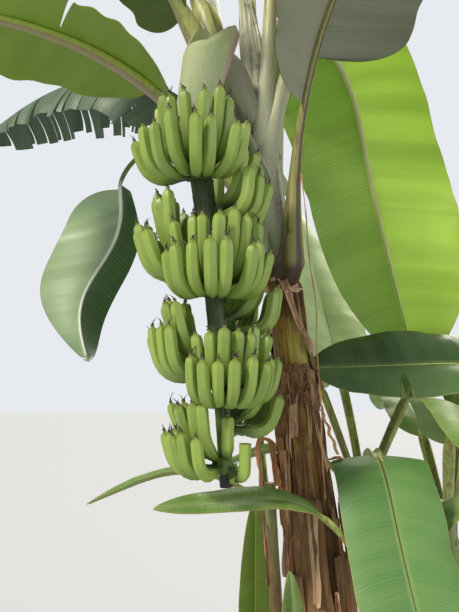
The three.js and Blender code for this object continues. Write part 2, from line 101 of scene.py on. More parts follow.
def rough(points: np.ndarray, scale: Sequence[float], seed: float = 0.0) -> np.ndarray:
    """Smooth seeded noise at each point.

    Args:
        points: An array of points.
        scale: How quickly it changes along each axis.
        seed: Moves the pattern.

    Returns:
        One value for each point, about -1 to 1.
    """
    stretched = points * np.asarray(scale) + seed * 17.31
    return np.array([noise.noise(Vector(p)) for p in stretched])


def bow(start: np.ndarray, knee: np.ndarray, end: np.ndarray, t: np.ndarray) -> np.ndarray:
    """Points on a curve that leaves its start towards the knee, and comes to its end from there."""
    return start * (1 - t) ** 2 + knee * 2 * t * (1 - t) + end * t**2


def unit(vectors: np.ndarray) -> np.ndarray:
    """Rows of vectors, each made one long."""
    return vectors / np.linalg.norm(vectors, axis=1)[:, None]


def follow(share: np.ndarray, stations: np.ndarray, points: np.ndarray) -> np.ndarray:
    """Points between the given ones, at shares of the way that the stations mark."""
    return np.stack([np.interp(share, stations, points[:, axis]) for axis in range(points.shape[1])], -1)


class Seeded:
    """A seeded stream of numbers between 0 and 1, the same as the frame's."""

    def __init__(self, seed: int) -> None:
        """Starts the stream."""
        self.state = seed & 0xFFFFFFFF

    def __call__(self) -> float:
        """The next number."""
        self.state = (self.state * 1664525 + 1013904223) & 0xFFFFFFFF
        return self.state / 4294967296

    def between(self, low: float, high: float) -> float:
        """The next number, between low and high."""
        return mix(low, high, self())


class Bench:
    """Where pieces are made: every operator works on one piece, with all else deselected."""

    @staticmethod
    def clear() -> None:
        """Leaves edit mode and deselects everything."""
        if bpy.context.object and bpy.context.object.mode != "OBJECT":
            bpy.ops.object.mode_set(mode="OBJECT")
        bpy.ops.object.select_all(action="DESELECT")

    @staticmethod
    def named(name: str) -> bpy.types.Object:
        """Names the piece that was just added."""
        piece = bpy.context.object
        piece.name = piece.data.name = name
        return piece

    @classmethod
    def pick(cls, *pieces: bpy.types.Object) -> None:
        """Selects these pieces alone, the first as the active one."""
        cls.clear()
        for piece in pieces:
            piece.select_set(True)
        bpy.context.view_layer.objects.active = pieces[0]

    @classmethod
    def edit(
        cls, piece: bpy.types.Object, faces: Callable | None = None, edges: Callable | None = None,
    ) -> None:
        """Opens a piece in edit mode with some of it selected.

        Args:
            piece: The piece to open.
            faces: Picks faces by place or normal, or None.
            edges: Picks edges, or None. With neither, all is selected.
        """
        cls.pick(piece)
        bpy.ops.object.mode_set(mode="EDIT")
        bpy.ops.mesh.select_mode(type="FACE" if faces else "EDGE" if edges else "VERT")
        bpy.ops.mesh.select_all(action="DESELECT" if faces or edges else "SELECT")
        mesh = bmesh.from_edit_mesh(piece.data)
        for face in mesh.faces if faces else ():
            face.select_set(bool(faces(face)))
        for edge in mesh.edges if edges else ():
            edge.select_set(bool(edges(edge)))
        mesh.select_flush_mode()
        bmesh.update_edit_mesh(piece.data)

    @staticmethod
    def close() -> None:
        """Back to object mode."""
        bpy.ops.object.mode_set(mode="OBJECT")

    @classmethod
    def sheet(cls, name: str, across: int, along: int) -> bpy.types.Object:
        """A flat grid from -1 to 1 both ways."""
        cls.clear()
        bpy.ops.mesh.primitive_grid_add(x_subdivisions=across, y_subdivisions=along, size=2)
        return cls.named(name)

    @classmethod
    def column(cls, name: str, sides: int, cuts: Sequence[int], rounding: float = 0.0) -> bpy.types.Object:
        """An upright column from z = -1 to 1, cut into rings.

        Args:
            name: The piece's name.
            sides: Sides of the column.
            cuts: Each number divides every ring again by that many cuts.
            rounding: How far the upright edges are bevelled, or 0.

        Returns:
            The column.
        """
        cls.clear()
        bpy.ops.mesh.primitive_cylinder_add(vertices=sides, radius=1, depth=2, end_fill_type="NGON")
        piece = cls.named(name)

        def upright(edge: bmesh.types.BMEdge) -> bool:
            """Whether an edge runs up the column."""
            one, other = edge.verts
            return abs(one.co.z - other.co.z) > 1e-4

        if rounding:
            cls.edit(piece, edges=upright)
            bpy.ops.mesh.bevel(offset=rounding, segments=1, affect="EDGES")
            cls.close()
        for count in cuts:
            cls.edit(piece, edges=upright)
            bpy.ops.mesh.subdivide(number_cuts=count)
            cls.close()
        return piece

    @staticmethod
    def corners(piece: bpy.types.Object) -> np.ndarray:
        """The places of a piece's vertices."""
        spots = np.empty(len(piece.data.vertices) * 3, np.float32)
        piece.data.vertices.foreach_get("co", spots)
        return spots.reshape(-1, 3).astype(float)

    @classmethod
    def rings(cls, piece: bpy.types.Object) -> tuple[np.ndarray, np.ndarray, np.ndarray]:
        """A column's vertices: shares of its height, turns in radians, and how far out they are."""
        flat = cls.corners(piece)
        return (flat[:, 2] + 1) / 2, np.arctan2(flat[:, 1], flat[:, 0]), np.hypot(flat[:, 0], flat[:, 1])

    @staticmethod
    def move(piece: bpy.types.Object, spots: np.ndarray) -> None:
        """Moves a piece's vertices to new places."""
        piece.data.vertices.foreach_set("co", np.ascontiguousarray(spots, np.float32).ravel())
        piece.data.update()

    @staticmethod
    def mark(piece: bpy.types.Object, name: str, values: np.ndarray) -> None:
        """Stores a number or a vector on each vertex, for the materials to read."""
        kind, key = ("FLOAT_VECTOR", "vector") if values.ndim == 2 else ("FLOAT", "value")
        layer = piece.data.attributes.new(name, kind, "POINT")
        layer.data.foreach_set(key, np.ascontiguousarray(values, np.float32).ravel())

    @classmethod
    def modify(cls, piece: bpy.types.Object, kind: str, **settings: object) -> None:
        """Adds a modifier and applies it."""
        cls.pick(piece)
        modifier = piece.modifiers.new(kind.title(), kind)
        for key, value in settings.items():
            setattr(modifier, key, value)
        bpy.ops.object.modifier_apply(modifier=modifier.name)

    @classmethod
    def outwards(cls, piece: bpy.types.Object) -> None:
        """Makes a closed piece's faces point outwards."""
        cls.edit(piece)
        bpy.ops.mesh.normals_make_consistent(inside=False)
        cls.close()

    @classmethod
    def join(cls, name: str, pieces: Sequence[bpy.types.Object]) -> bpy.types.Object:
        """Joins pieces into one."""
        cls.pick(*pieces)
        if len(pieces) > 1:
            bpy.ops.object.join()
        return cls.named(name)

    @staticmethod
    def copy(model: bpy.types.Object, name: str) -> bpy.types.Object:
        """A copy of a model with a mesh of its own."""
        made = model.copy()
        made.data = model.data.copy()
        made.name = made.data.name = name
        bpy.context.scene.collection.objects.link(made)
        return made

    @staticmethod
    def discard(piece: bpy.types.Object) -> None:
        """Removes a model that only its copies were made from."""
        bpy.data.objects.remove(piece, do_unlink=True)

    @classmethod
    def shade(cls, piece: bpy.types.Object, degrees: float = SMOOTH_ANGLE) -> None:
        """Smooths a piece's shading where its faces meet at less than an angle."""
        cls.pick(piece)
        bpy.ops.object.shade_smooth_by_angle(angle=math.radians(degrees))

    @staticmethod
    def wear(piece: bpy.types.Object, *materials: bpy.types.Material) -> None:
        """Gives a piece its materials, in slot order."""
        piece.data.materials.clear()
        for material in materials:
            piece.data.materials.append(material)

    @staticmethod
    def use_slot(piece: bpy.types.Object, index: int) -> None:
        """Gives all of a piece the material of one of its slots."""
        for face in piece.data.polygons:
            face.material_index = index

    @staticmethod
    def deliver(piece: bpy.types.Object, slot: str, *nodes: str) -> bpy.types.Object:
        """Rides a piece on the plant, in the place of its nodes, and reports it."""
        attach(piece, "root")
        if nodes:
            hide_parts(*nodes)
        log.info("%s: %d faces, stands for %s", piece.name, len(piece.data.polygons), nodes or "nothing")
        return piece


class Tree:
    """Adds nodes to a material or a group and links them."""

    def __init__(self, tree: bpy.types.NodeTree) -> None:
        """Works on a node tree."""
        self.tree = tree

    def add(self, kind: str, inputs: dict | None = None, **settings: object) -> bpy.types.Node:
        """Adds a node.

        Args:
            kind: The node's type, without its ShaderNode prefix.
            inputs: Sockets or plain values by input name or number.
            settings: The node's own settings.

        Returns:
            The node.
        """
        made = self.tree.nodes.new("ShaderNode" + kind)
        for key, value in settings.items():
            setattr(made, key, value)
        for key, value in (inputs or {}).items():
            if isinstance(value, bpy.types.NodeSocket):
                self.link(value, made, key)
            else:
                made.inputs[key].default_value = value
        return made

    def link(self, value: bpy.types.NodeSocket, node: bpy.types.Node, name: str | int) -> None:
        """Feeds a socket to a node's input."""
        self.tree.links.new(value, node.inputs[name])

    def calc(
        self, operation: str, one: object, other: object = 0.0, clamp: bool = False,
    ) -> bpy.types.NodeSocket:
        """The result of a Math node."""
        return self.add("Math", {0: one, 1: other}, operation=operation, use_clamp=clamp).outputs[0]

    def times(self, one: object, other: object) -> bpy.types.NodeSocket:
        """One value multiplied by another."""
        return self.calc("MULTIPLY", one, other)

    def span(
        self, value: object, low: float, high: float, start: float = 0.0, end: float = 1.0,
    ) -> bpy.types.NodeSocket:
        """Maps low to high onto start to end, eased at both ends."""
        inputs = {"Value": value, "From Min": low, "From Max": high, "To Min": start, "To Max": end}
        return self.add("MapRange", inputs, interpolation_type="SMOOTHSTEP").outputs[0]

    def blend(self, share: object, one: object, other: object, kind: str = "MIX") -> bpy.types.NodeSocket:
        """A mix of two colours."""
        return self.add("Mix", {0: share, 6: one, 7: other}, data_type="RGBA", blend_type=kind).outputs[2]

    def noise(self, inputs: dict, **settings: object) -> bpy.types.NodeSocket:
        """A noise texture's value."""
        return self.add("TexNoise", inputs, **settings).outputs["Fac"]

    def split(self, vector: bpy.types.NodeSocket) -> Sequence[bpy.types.NodeSocket]:
        """A vector's three numbers."""
        return self.add("SeparateXYZ", {0: vector}).outputs

    def mark(self, name: str) -> bpy.types.NodeSocket:
        """A number that is stored on the vertices."""
        return self.add("Attribute", attribute_name=name).outputs["Fac"]

    def marks(self, name: str) -> bpy.types.NodeSocket:
        """A vector that is stored on the vertices."""
        return self.add("Attribute", attribute_name=name).outputs["Vector"]

    def where(self) -> bpy.types.NodeSocket:
        """Object coordinates."""
        return self.add("TexCoord").outputs["Object"]

    def group(self, name: str, inputs: dict) -> Sequence[bpy.types.NodeSocket]:
        """Places a shared group and gives its outputs."""
        return self.add("Group", inputs, node_tree=bpy.data.node_groups[name]).outputs

    def fibres(
        self, where: bpy.types.NodeSocket, fineness: float, drawn: float,
    ) -> Sequence[bpy.types.NodeSocket]:
        """Upright fibres: their strands and patches."""
        return self.group("upright_fibres", {"Vector": where, "Fineness": fineness, "Drawn": drawn})

    def scuffs(self, where: bpy.types.NodeSocket, size: float, amount: float) -> bpy.types.NodeSocket:
        """Small blotches, as a mask."""
        return self.group("scuffs", {"Vector": where, "Size": size, "Amount": amount})["Mask"]


class Group(Tree):
    """A shader group that more than one finish uses: its given values, and the numbers it puts out."""

    def __init__(self, name: str, vector: str, numbers: Sequence[str], outputs: Sequence[str]) -> None:
        """Starts the group.

        Args:
            name: The group's name.
            vector: The name of its vector input.
            numbers: The names of its number inputs.
            outputs: The names of the numbers that it puts out.
        """
        super().__init__(bpy.data.node_groups.new(name, "ShaderNodeTree"))
        self.tree.interface.new_socket(vector, in_out="INPUT", socket_type="NodeSocketVector")
        for key in numbers:
            self.tree.interface.new_socket(key, in_out="INPUT", socket_type="NodeSocketFloat")
        for key in outputs:
            self.tree.interface.new_socket(key, in_out="OUTPUT", socket_type="NodeSocketFloat")
        self.given = self.tree.nodes.new("NodeGroupInput").outputs
        self.out = self.tree.nodes.new("NodeGroupOutput")


def make_veins() -> None:
    """Makes the veins: fine parallel lines that leave a rib and sweep towards the tip, with broader bands."""
    straight, side_shift, bands_per_metre = 0.16, 7.0, 9.0
    g = Group("lateral_veins", "Place", ["Spacing", "Sweep"], ["Lines", "Bands"])
    part = g.split(g.given["Place"])
    out_share = g.calc("ABSOLUTE", part[0])
    swept = g.times(g.calc("POWER", out_share, 3.0), g.given["Sweep"])
    aslant = g.calc("ADD", swept, g.times(out_share, straight))
    run = g.calc("SUBTRACT", part[1], g.times(aslant, part[2]))
    sided = g.calc("ADD", run, g.times(g.calc("SIGN", part[0]), side_shift))
    fine = g.calc("DIVIDE", sided, g.given["Spacing"])
    lines = g.noise({"W": fine, "Scale": 1.0, "Detail": 1.0}, noise_dimensions="1D")
    broad = g.times(sided, bands_per_metre)
    bands = g.noise({"W": broad, "Scale": 1.0, "Detail": 3.0}, noise_dimensions="1D")
    g.link(g.span(lines, 0.3, 0.7), g.out, "Lines")
    g.link(g.span(bands, 0.3, 0.7), g.out, "Bands")


def make_fibres() -> None:
    """Makes the fibres: upright strands, with patches that are less drawn out."""
    patch_scale = 0.13
    g = Group("upright_fibres", "Vector", ["Fineness", "Drawn"], ["Strands", "Patches"])
    fine = g.given["Fineness"]
    up = g.calc("DIVIDE", fine, g.given["Drawn"])
    stretch = g.add("CombineXYZ", {0: fine, 1: fine, 2: up}).outputs[0]
    drawn = g.add("VectorMath", {0: g.given["Vector"], 1: stretch}, operation="MULTIPLY").outputs[0]
    strands = g.noise({"Vector": drawn, "Scale": 1.0, "Detail": 5.0, "Roughness": 0.6})
    wide = g.add("VectorMath", {0: drawn, "Scale": patch_scale}, operation="SCALE").outputs[0]
    patches = g.noise({"Vector": wide, "Scale": 1.0, "Detail": 4.0, "Roughness": 0.55})
    g.link(g.span(strands, 0.28, 0.72), g.out, "Strands")
    g.link(g.span(patches, 0.34, 0.66), g.out, "Patches")


def make_scuffs() -> None:
    """Makes the scuffs: small blotches, as a mask that is 1 on them."""
    rarest, reach, sharpness = 0.78, 0.4, 12.0
    g = Group("scuffs", "Vector", ["Size", "Amount"], ["Mask"])
    scale = g.calc("DIVIDE", 1.0, g.given["Size"])
    cloud = g.noise({"Vector": g.given["Vector"], "Scale": scale, "Detail": 4.0, "Roughness": 0.65})
    edge = g.calc("SUBTRACT", rarest, g.times(g.given["Amount"], reach))
    g.link(g.calc("MULTIPLY", g.calc("SUBTRACT", cloud, edge), sharpness, clamp=True), g.out, "Mask")


class Paintwork(Tree):
    """A new material with one Principled shader."""

    def __init__(self, name: str) -> None:
        """Starts the material."""
        self.material = bpy.data.materials.new(name)
        self.material.use_nodes = True
        self.material.node_tree.nodes.clear()
        super().__init__(self.material.node_tree)
        self.shader = self.add("BsdfPrincipled")
        self.output = self.add("OutputMaterial")
        self.link(self.shader.outputs[0], self.output, "Surface")

    def colour(self, value: bpy.types.NodeSocket) -> None:
        """Sets the colour."""
        self.link(value, self.shader, "Base Color")

    def roughness(self, value: bpy.types.NodeSocket | float) -> None:
        """Sets the roughness, to a plain number or to one that changes over the surface."""
        if isinstance(value, bpy.types.NodeSocket):
            self.link(value, self.shader, "Roughness")
        else:
            self.shader.inputs["Roughness"].default_value = value

    def relief(self, height: bpy.types.NodeSocket, distance: float, strength: float) -> None:
        """Feeds a height to the shader's normal through a bump."""
        bump = self.add("Bump", {"Height": height, "Distance": distance, "Strength": strength})
        self.link(bump.outputs[0], self.shader, "Normal")

    def glow(self, share: float, colour: bpy.types.NodeSocket) -> None:
        """Lets a share of the light through, tinted by a colour."""
        sheer = self.add("BsdfTranslucent", {"Color": colour})
        both = self.add("MixShader", {0: share, 1: self.shader.outputs[0], 2: sheer.outputs[0]})
        self.link(both.outputs[0], self.output, "Surface")


@dataclass(frozen=True)
class LeafFinish:
    """One face of a leaf's blade: its colours, veins, wax and how far light comes through."""

    name: str
    left: Colour
    pale: Colour
    margin: Colour
    # The other half's colour, where it differs: painted light on the sunlit look and painted shade on the
    # waxy and overhead looks
    right: Colour | None = None
    band: Colour | None = None
    gloss: float = 0.42
    glow: float = 0.35
    veined: float = 0.25
    rib: float = 0.5

    def material(self) -> bpy.types.Material:
        """Builds the finish."""
        t = Paintwork(self.name)
        place = t.marks("leaf_place")
        across, _, wide = t.split(place)
        veins = t.group("lateral_veins", {"Place": place, "Spacing": 0.0052, "Sweep": 0.1})
        lines, bands = veins["Lines"], veins["Bands"]
        # The two halves' colours; on the sunlit, waxy and overhead looks the difference between them is
        # painted light and shade
        halves = t.blend(t.span(across, -0.02, 0.02), self.left, self.right or self.left)
        banded = t.blend(t.times(bands, 0.55), halves, t.blend(0.5, halves, self.band or self.pale))
        lined = t.blend(t.times(lines, self.veined), banded, self.pale)
        from_rib = t.times(t.calc("ABSOLUTE", across), wide)
        ribbed = t.blend(t.span(from_rib, 0.006, 0.014, self.rib, 0.0), lined, self.pale)
        from_edge = t.calc("SUBTRACT", wide, from_rib)
        coloured = t.blend(t.span(from_edge, 0.0006, 0.0024, 0.6, 0.0), ribbed, self.margin)
        t.colour(coloured)
        t.roughness(t.span(bands, 0.0, 1.0, self.gloss, self.gloss + 0.12))
        t.relief(t.calc("ADD", lines, t.times(bands, 4.0)), 0.0007, 0.5)
        through = t.blend(1.0, coloured, paint(226, 244, 150), "MULTIPLY")
        t.glow(self.glow, t.blend(0.45, through, coloured))
        return t.material


@dataclass(frozen=True)
class StalkFinish:
    """A leaf stalk and rib: its sides, the stripe down its middle, and blotches near its foot."""

    name: str
    sides: Colour
    stripe: Colour
    blotch: Colour
    striped: float = 0.6
    blotched: float = 0.4
    stripe_at: float = 0.0
    stripe_wide: float = 0.75
    foot: Colour = (0.2, 0.25, 0.1, 1.0)
    foot_span: tuple[float, float] = (-0.06, 0.08)
    rib: Colour | None = None

    def material(self) -> bpy.types.Material:
        """Builds the finish."""
        t = Paintwork(self.name)
        across, run, _ = t.split(t.marks("leaf_place"))
        where = t.where()
        grain = t.fibres(where, fineness=160.0, drawn=9.0)["Strands"]
        long = t.fibres(where, fineness=90.0, drawn=30.0)["Strands"]
        spots = t.scuffs(where, size=0.045, amount=self.blotched)
        aside = t.calc("ABSOLUTE", t.calc("SUBTRACT", across, self.stripe_at))
        middle = t.span(aside, self.stripe_wide * 0.35, self.stripe_wide, self.striped, 0.0)
        base = t.blend(middle, self.sides, self.stripe)
        if self.rib:
            base = t.blend(t.mark("ribbed"), base, self.rib)
        streaks = t.times(t.span(long, 0.4, 0.85), t.span(run, 0.2, 0.9, 0.75, 0.12))
        streaked = t.blend(streaks, base, self.blotch)
        edges = t.span(t.calc("ABSOLUTE", across), 0.72, 0.95)
        seam = t.times(edges, t.span(run, -0.04, 0.16, 0.75, 0.0))
        seamed = t.blend(seam, streaked, paint(74, 46, 44))
        sheathed = t.blend(t.span(run, *self.foot_span, 0.9, 0.0), seamed, self.foot)
        grained = t.blend(t.times(grain, 0.35), sheathed, t.blend(0.55, sheathed, self.blotch))
        low = t.span(run, -0.1, 0.35, 0.9, 0.15)
        t.colour(t.blend(t.times(spots, low), grained, self.blotch))
        t.roughness(0.42)
        t.relief(grain, 0.0006, 0.5)
        return t.material


@dataclass(frozen=True)
class SheathFinish:
    """A pseudostem: dry brown fibres where the old sheaths are dead, green and streaked where they live."""

    name: str
    dark: Colour
    tan: Colour
    purple: Colour
    green: Colour
    ochre: Colour
    high: Colour
    streaked: float = 0.5
    rough: float = 0.8

    def material(self) -> bpy.types.Material:
        """Builds the finish."""
        t = Paintwork(self.name)
        where = t.where()
        height = t.split(where)[2]
        fine = t.fibres(where, fineness=140.0, drawn=16.0)["Strands"]
        wide = t.fibres(where, fineness=60.0, drawn=5.0)
        long = t.fibres(where, fineness=90.0, drawn=34.0)
        spots = t.scuffs(where, size=0.035, amount=self.streaked)
        brown = t.blend(fine, self.dark, self.tan)
        worn = t.blend(t.times(wide["Patches"], 0.6), brown, self.purple)
        dried = t.blend(t.times(t.span(wide["Strands"], 0.6, 1.0), 0.5), worn, self.tan)
        lower = t.blend(wide["Patches"], self.green, self.ochre)
        living = t.blend(t.span(height, 1.68, 1.84), lower, self.high)
        streaks = t.times(t.span(long["Strands"], 0.4, 0.9), self.streaked)
        alive = t.blend(streaks, living, t.blend(0.65, living, paint(118, 92, 98)))
        seam = t.times(t.span(height, 2.02, 1.9), t.span(long["Patches"], 0.35, 0.75, 0.0, 0.75))
        spotted = t.blend(t.calc("MAXIMUM", t.times(spots, 0.5), seam), alive, self.purple)
        live = t.mark("alive")
        t.colour(t.blend(live, dried, spotted))
        t.roughness(t.span(live, 0.0, 1.0, self.rough, 0.5))
        strands = t.calc("ADD", fine, t.times(wide["Strands"], 2.0))
        t.relief(t.times(strands, t.span(live, 0.0, 1.0, 1.0, 0.12)), 0.0018, 0.85)
        return t.material


@dataclass(frozen=True)
class DryFinish:
    """Dead strips, string and flaps: stringy, matt and brown."""

    name: str
    light: Colour
    dark: Colour
    pale: Colour

    def material(self) -> bpy.types.Material:
        """Builds the finish."""
        t = Paintwork(self.name)
        fine = t.fibres(t.where(), fineness=180.0, drawn=12.0)
        base = t.blend(fine["Strands"], self.dark, self.light)
        t.colour(t.blend(t.times(fine["Patches"], 0.6), base, self.pale))
        t.roughness(0.85)
        t.relief(fine["Strands"], 0.0014, 0.9)
        return t.material


@dataclass(frozen=True)
class FruitFinish:
    """Unripe skin: yellow-green and mottled, browner at the beak, with painted shade towards the stalk and a
    painted highlight over the fingers.
    """

    name: str
    skin: Colour
    # A darker green: some fingers' own darker tone, and the painted shade at the stalk end
    deep: Colour
    # A lighter green: the mottling's, and the painted highlight over every finger
    ridge: Colour
    beak: Colour

    def material(self) -> bpy.types.Material:
        """Builds the finish."""
        t = Paintwork(self.name)
        where = t.where()
        along, highlight_share, tint = t.split(t.marks("finger_place"))
        grain = t.fibres(where, fineness=120.0, drawn=3.0)
        scars = t.scuffs(where, size=0.012, amount=0.28)
        tinted = t.blend(tint, self.skin, t.blend(0.75, self.skin, self.deep))
        mottled = t.blend(t.times(grain["Patches"], 0.3), tinted, self.ridge)
        # Painted highlight: every finger, but not the cushion, is painted lighter towards the ridge colour
        lit = t.blend(t.times(highlight_share, 0.45), mottled, self.ridge)
        # Painted shade: darker towards the stalk end and on the cushion, where the fingers crowd together
        root_shaded = t.blend(t.span(along, 0.4, 0.05), lit, self.deep)
        tipped = t.blend(t.span(along, 0.9, 1.0, 0.0, 0.8), root_shaded, self.beak)
        t.colour(t.blend(t.times(scars, 0.45), tipped, self.beak))
        t.roughness(t.span(grain["Patches"], 0.0, 1.0, 0.36, 0.5))
        t.relief(grain["Strands"], 0.0004, 0.5)
        return t.material


@dataclass(frozen=True)
class StringyFinish:
    """Fruit stalk or bract: fine parallel fibres over a plain green, with a tinted rim."""

    name: str
    base: Colour
    line: Colour
    rim: Colour
    fineness: float = 150.0
    lined: float = 0.5
    sheen: float = 0.5
    sheath: Colour = (0.2, 0.24, 0.12, 1.0)
    fresh: Colour = (0.16, 0.27, 0.07, 1.0)
    glow: float = 0.0

    def material(self) -> bpy.types.Material:
        """Builds the finish."""
        t = Paintwork(self.name)
        where = t.where()
        height = t.split(where)[2]
        fine = t.fibres(where, fineness=self.fineness, drawn=16.0)
        scars = t.scuffs(where, size=0.02, amount=0.25)
        lined = t.blend(t.times(fine["Strands"], self.lined), self.base, self.line)
        faded = t.blend(t.times(fine["Patches"], 0.3), lined, self.line)
        scarred = t.blend(t.times(scars, 0.3), faded, self.rim)
        covered = t.blend(t.mark("sheathed"), scarred, t.blend(0.75, scarred, self.sheath))
        freshened = t.blend(t.span(height, 1.16, 1.3, 0.85, 0.0), covered, self.fresh)
        edged = t.blend(t.mark("rim"), freshened, self.rim)
        t.colour(edged)
        t.roughness(self.sheen)
        t.relief(fine["Strands"], 0.0008, 0.6)
        if self.glow:
            t.glow(self.glow, edged)
        return t.material


class Look(Enum):
    """How a leaf looks: its blade's two faces and its stalk."""

    # Painted shade on the overhead leaf's underside
    OVERHEAD = "overhead"
    SUNLIT = "sunlit"
    BROAD = "broad"
    SHREDDED = "shredded"
    WAXY = "waxy"
    HIGH = "high"
    DARK = "dark"
    PALE = "pale"
    # Painted light: pale blades that stand in for light coming through them
    UPRIGHT = "upright"
    # Painted shade: a dark blade for a leaf that hangs in shade
    DEEP = "deep"
    YOUNG = "young"


def faces(top: LeafFinish, **under: object) -> tuple[LeafFinish, LeafFinish]:
    """A blade's top face, and an underside that is the same but for what is given."""
    return top, replace(top, name=top.name.replace("_top", "_under"), **under)


STRAW, BROWN, RIB_GREEN = paint(196, 178, 96), paint(120, 84, 48), paint(156, 170, 88)
# Each look's top face, underside and stalk. A face's colours are its blade's, its veins' and its margin's,
# and a stalk's are its sides', its stripe's and its blotches'.
LEAF_LOOKS: dict[Look, tuple[LeafFinish, LeafFinish, StalkFinish]] = {
    Look.OVERHEAD: (
        LeafFinish("leaf_overhead_top", paint(94, 112, 70), paint(140, 158, 96), BROWN, gloss=0.4, glow=0.3),
        # Painted shade: the underside is painted a dull grey-green, and its right half darker still, for the
        # shade the leaf hangs in overhead
        LeafFinish(
            "leaf_overhead_under", paint(132, 134, 110), paint(154, 156, 128), BROWN,
            right=paint(98, 104, 84), gloss=0.5, glow=0.14, veined=0.15, rib=0.2,
        ),
        StalkFinish(
            "leaf_overhead_stalk", paint(140, 142, 78), paint(52, 28, 28), paint(92, 64, 50),
            striped=0.95, blotched=0.5, stripe_at=0.1, stripe_wide=0.42,
            foot=paint(62, 40, 34), foot_span=(-0.14, 0.04),
        ),
    ),
    Look.SUNLIT: (
        # Painted light: both faces are painted the bright yellow-green of a sunlit blade that light shines
        # through, the left half lighter than the right
        *faces(LeafFinish(
            "leaf_sunlit_top", paint(206, 228, 120), paint(206, 222, 146), STRAW, right=paint(156, 186, 96),
            band=paint(120, 152, 50), glow=0.6, veined=0.3,
        ), gloss=0.5),
        StalkFinish(
            "leaf_sunlit_stalk", paint(186, 196, 120), paint(160, 172, 120), paint(120, 88, 70),
            striped=0.7, foot=paint(164, 174, 136), foot_span=(0.05, 0.5),
        ),
    ),
    Look.BROAD: (
        LeafFinish(
            "leaf_broad_top", paint(140, 168, 16), paint(180, 202, 80), STRAW, right=paint(178, 204, 60),
            gloss=0.45, glow=0.45, veined=0.2, rib=0.2,
        ),
        LeafFinish(
            "leaf_broad_under", paint(146, 170, 74), paint(176, 196, 100), STRAW,
            gloss=0.5, glow=0.5, veined=0.2, rib=0.2,
        ),
        StalkFinish(
            "leaf_broad_stalk", paint(146, 138, 94), paint(172, 194, 70), paint(128, 104, 82),
            striped=0.95, blotched=0.3, stripe_at=1.0, stripe_wide=0.3,
        ),
    ),
    Look.SHREDDED: (
        LeafFinish("leaf_shredded_top", paint(96, 122, 88), paint(150, 170, 156), BROWN, gloss=0.34),
        LeafFinish(
            "leaf_shredded_under", paint(88, 110, 84), paint(146, 164, 152), BROWN, gloss=0.4, glow=0.3,
        ),
        StalkFinish("leaf_shredded_stalk", paint(126, 138, 70), paint(116, 110, 64), paint(90, 74, 48)),
    ),
    Look.WAXY: (
        # Painted shade: the left half is painted dark green for the shade on it; the right half's pale
        # grey-green and the white rib are the waxy underside
        *faces(LeafFinish(
            "leaf_waxy_top", paint(44, 92, 16), paint(180, 200, 164), BROWN, right=paint(160, 184, 140),
            band=paint(60, 100, 40), glow=0.2, veined=0.12,
        ), left=paint(42, 88, 14), right=paint(162, 186, 144)),
        StalkFinish(
            "leaf_waxy_stalk", paint(96, 116, 64), paint(96, 116, 64), paint(84, 96, 54),
            striped=0.4, blotched=0.1, rib=paint(236, 240, 228),
        ),
    ),
    Look.HIGH: (
        LeafFinish("leaf_high_top", paint(112, 142, 52), paint(150, 168, 86), STRAW, gloss=0.4, glow=0.45),
        LeafFinish("leaf_high_under", paint(104, 126, 56), paint(146, 160, 92), STRAW, gloss=0.5, glow=0.4),
        StalkFinish(
            "leaf_high_stalk", paint(180, 190, 104), paint(166, 158, 112), paint(140, 114, 108),
            striped=0.7, blotched=0.26, foot=paint(178, 184, 154), foot_span=(0.02, 0.3),
        ),
    ),
    Look.DARK: (
        LeafFinish(
            "leaf_dark_top", paint(50, 80, 38), paint(92, 118, 66), STRAW, right=paint(80, 110, 66),
            gloss=0.26, glow=0.15, veined=0.2, rib=0.8,
        ),
        LeafFinish("leaf_dark_under", paint(88, 110, 70), paint(124, 144, 98), STRAW, gloss=0.45, glow=0.25),
        StalkFinish(
            "leaf_dark_stalk", paint(150, 172, 84), paint(168, 186, 96), paint(110, 110, 60), blotched=0.2,
        ),
    ),
    Look.PALE: (
        LeafFinish(
            "leaf_pale_top", paint(96, 146, 80), paint(140, 174, 104), STRAW, right=paint(104, 154, 82),
            glow=0.3, veined=0.3, rib=0.8,
        ),
        LeafFinish("leaf_pale_under", paint(122, 150, 96), paint(150, 172, 122), STRAW, gloss=0.5, glow=0.3),
        StalkFinish(
            "leaf_pale_stalk", paint(170, 188, 90), paint(60, 62, 28), paint(90, 84, 50),
            striped=0.95, blotched=0.2, stripe_wide=0.3,
        ),
    ),
    Look.UPRIGHT: (
        # Painted light: the blades are painted a very pale yellow-green that stands in for light coming
        # through them from behind, though they stand in shade
        *faces(LeafFinish(
            "leaf_upright_top", paint(208, 226, 168), paint(236, 242, 214), STRAW, band=paint(120, 150, 80),
            gloss=0.4, glow=0.4, veined=0.6, rib=0.4,
        ), gloss=0.5),
        StalkFinish(
            "leaf_upright_stalk", RIB_GREEN, paint(170, 190, 110), paint(120, 100, 60),
            striped=0.5, blotched=0.2,
        ),
    ),
    Look.DEEP: (
        # Painted shade: the hanging blade is painted dark green on both faces for the shade it hangs in
        *faces(LeafFinish(
            "leaf_deep_top", paint(74, 98, 2), paint(92, 116, 12), STRAW, right=paint(66, 90, 2),
            gloss=0.5, glow=0.25, veined=0.2, rib=0.3,
        )),
        StalkFinish(
            "leaf_deep_stalk", paint(90, 116, 44), paint(96, 124, 48), paint(84, 84, 44),
            striped=0.4, blotched=0.2,
        ),
    ),
    Look.YOUNG: (
        LeafFinish("leaf_young_top", paint(118, 154, 72), paint(170, 192, 128), STRAW, gloss=0.4, glow=0.42),
        LeafFinish(
            "leaf_young_under", paint(138, 164, 102), paint(176, 196, 144), STRAW, gloss=0.5, glow=0.38,
        ),
        StalkFinish(
            "leaf_young_stalk", RIB_GREEN, paint(146, 162, 92), paint(120, 100, 60),
            striped=0.5, blotched=0.2,
        ),
    ),
}


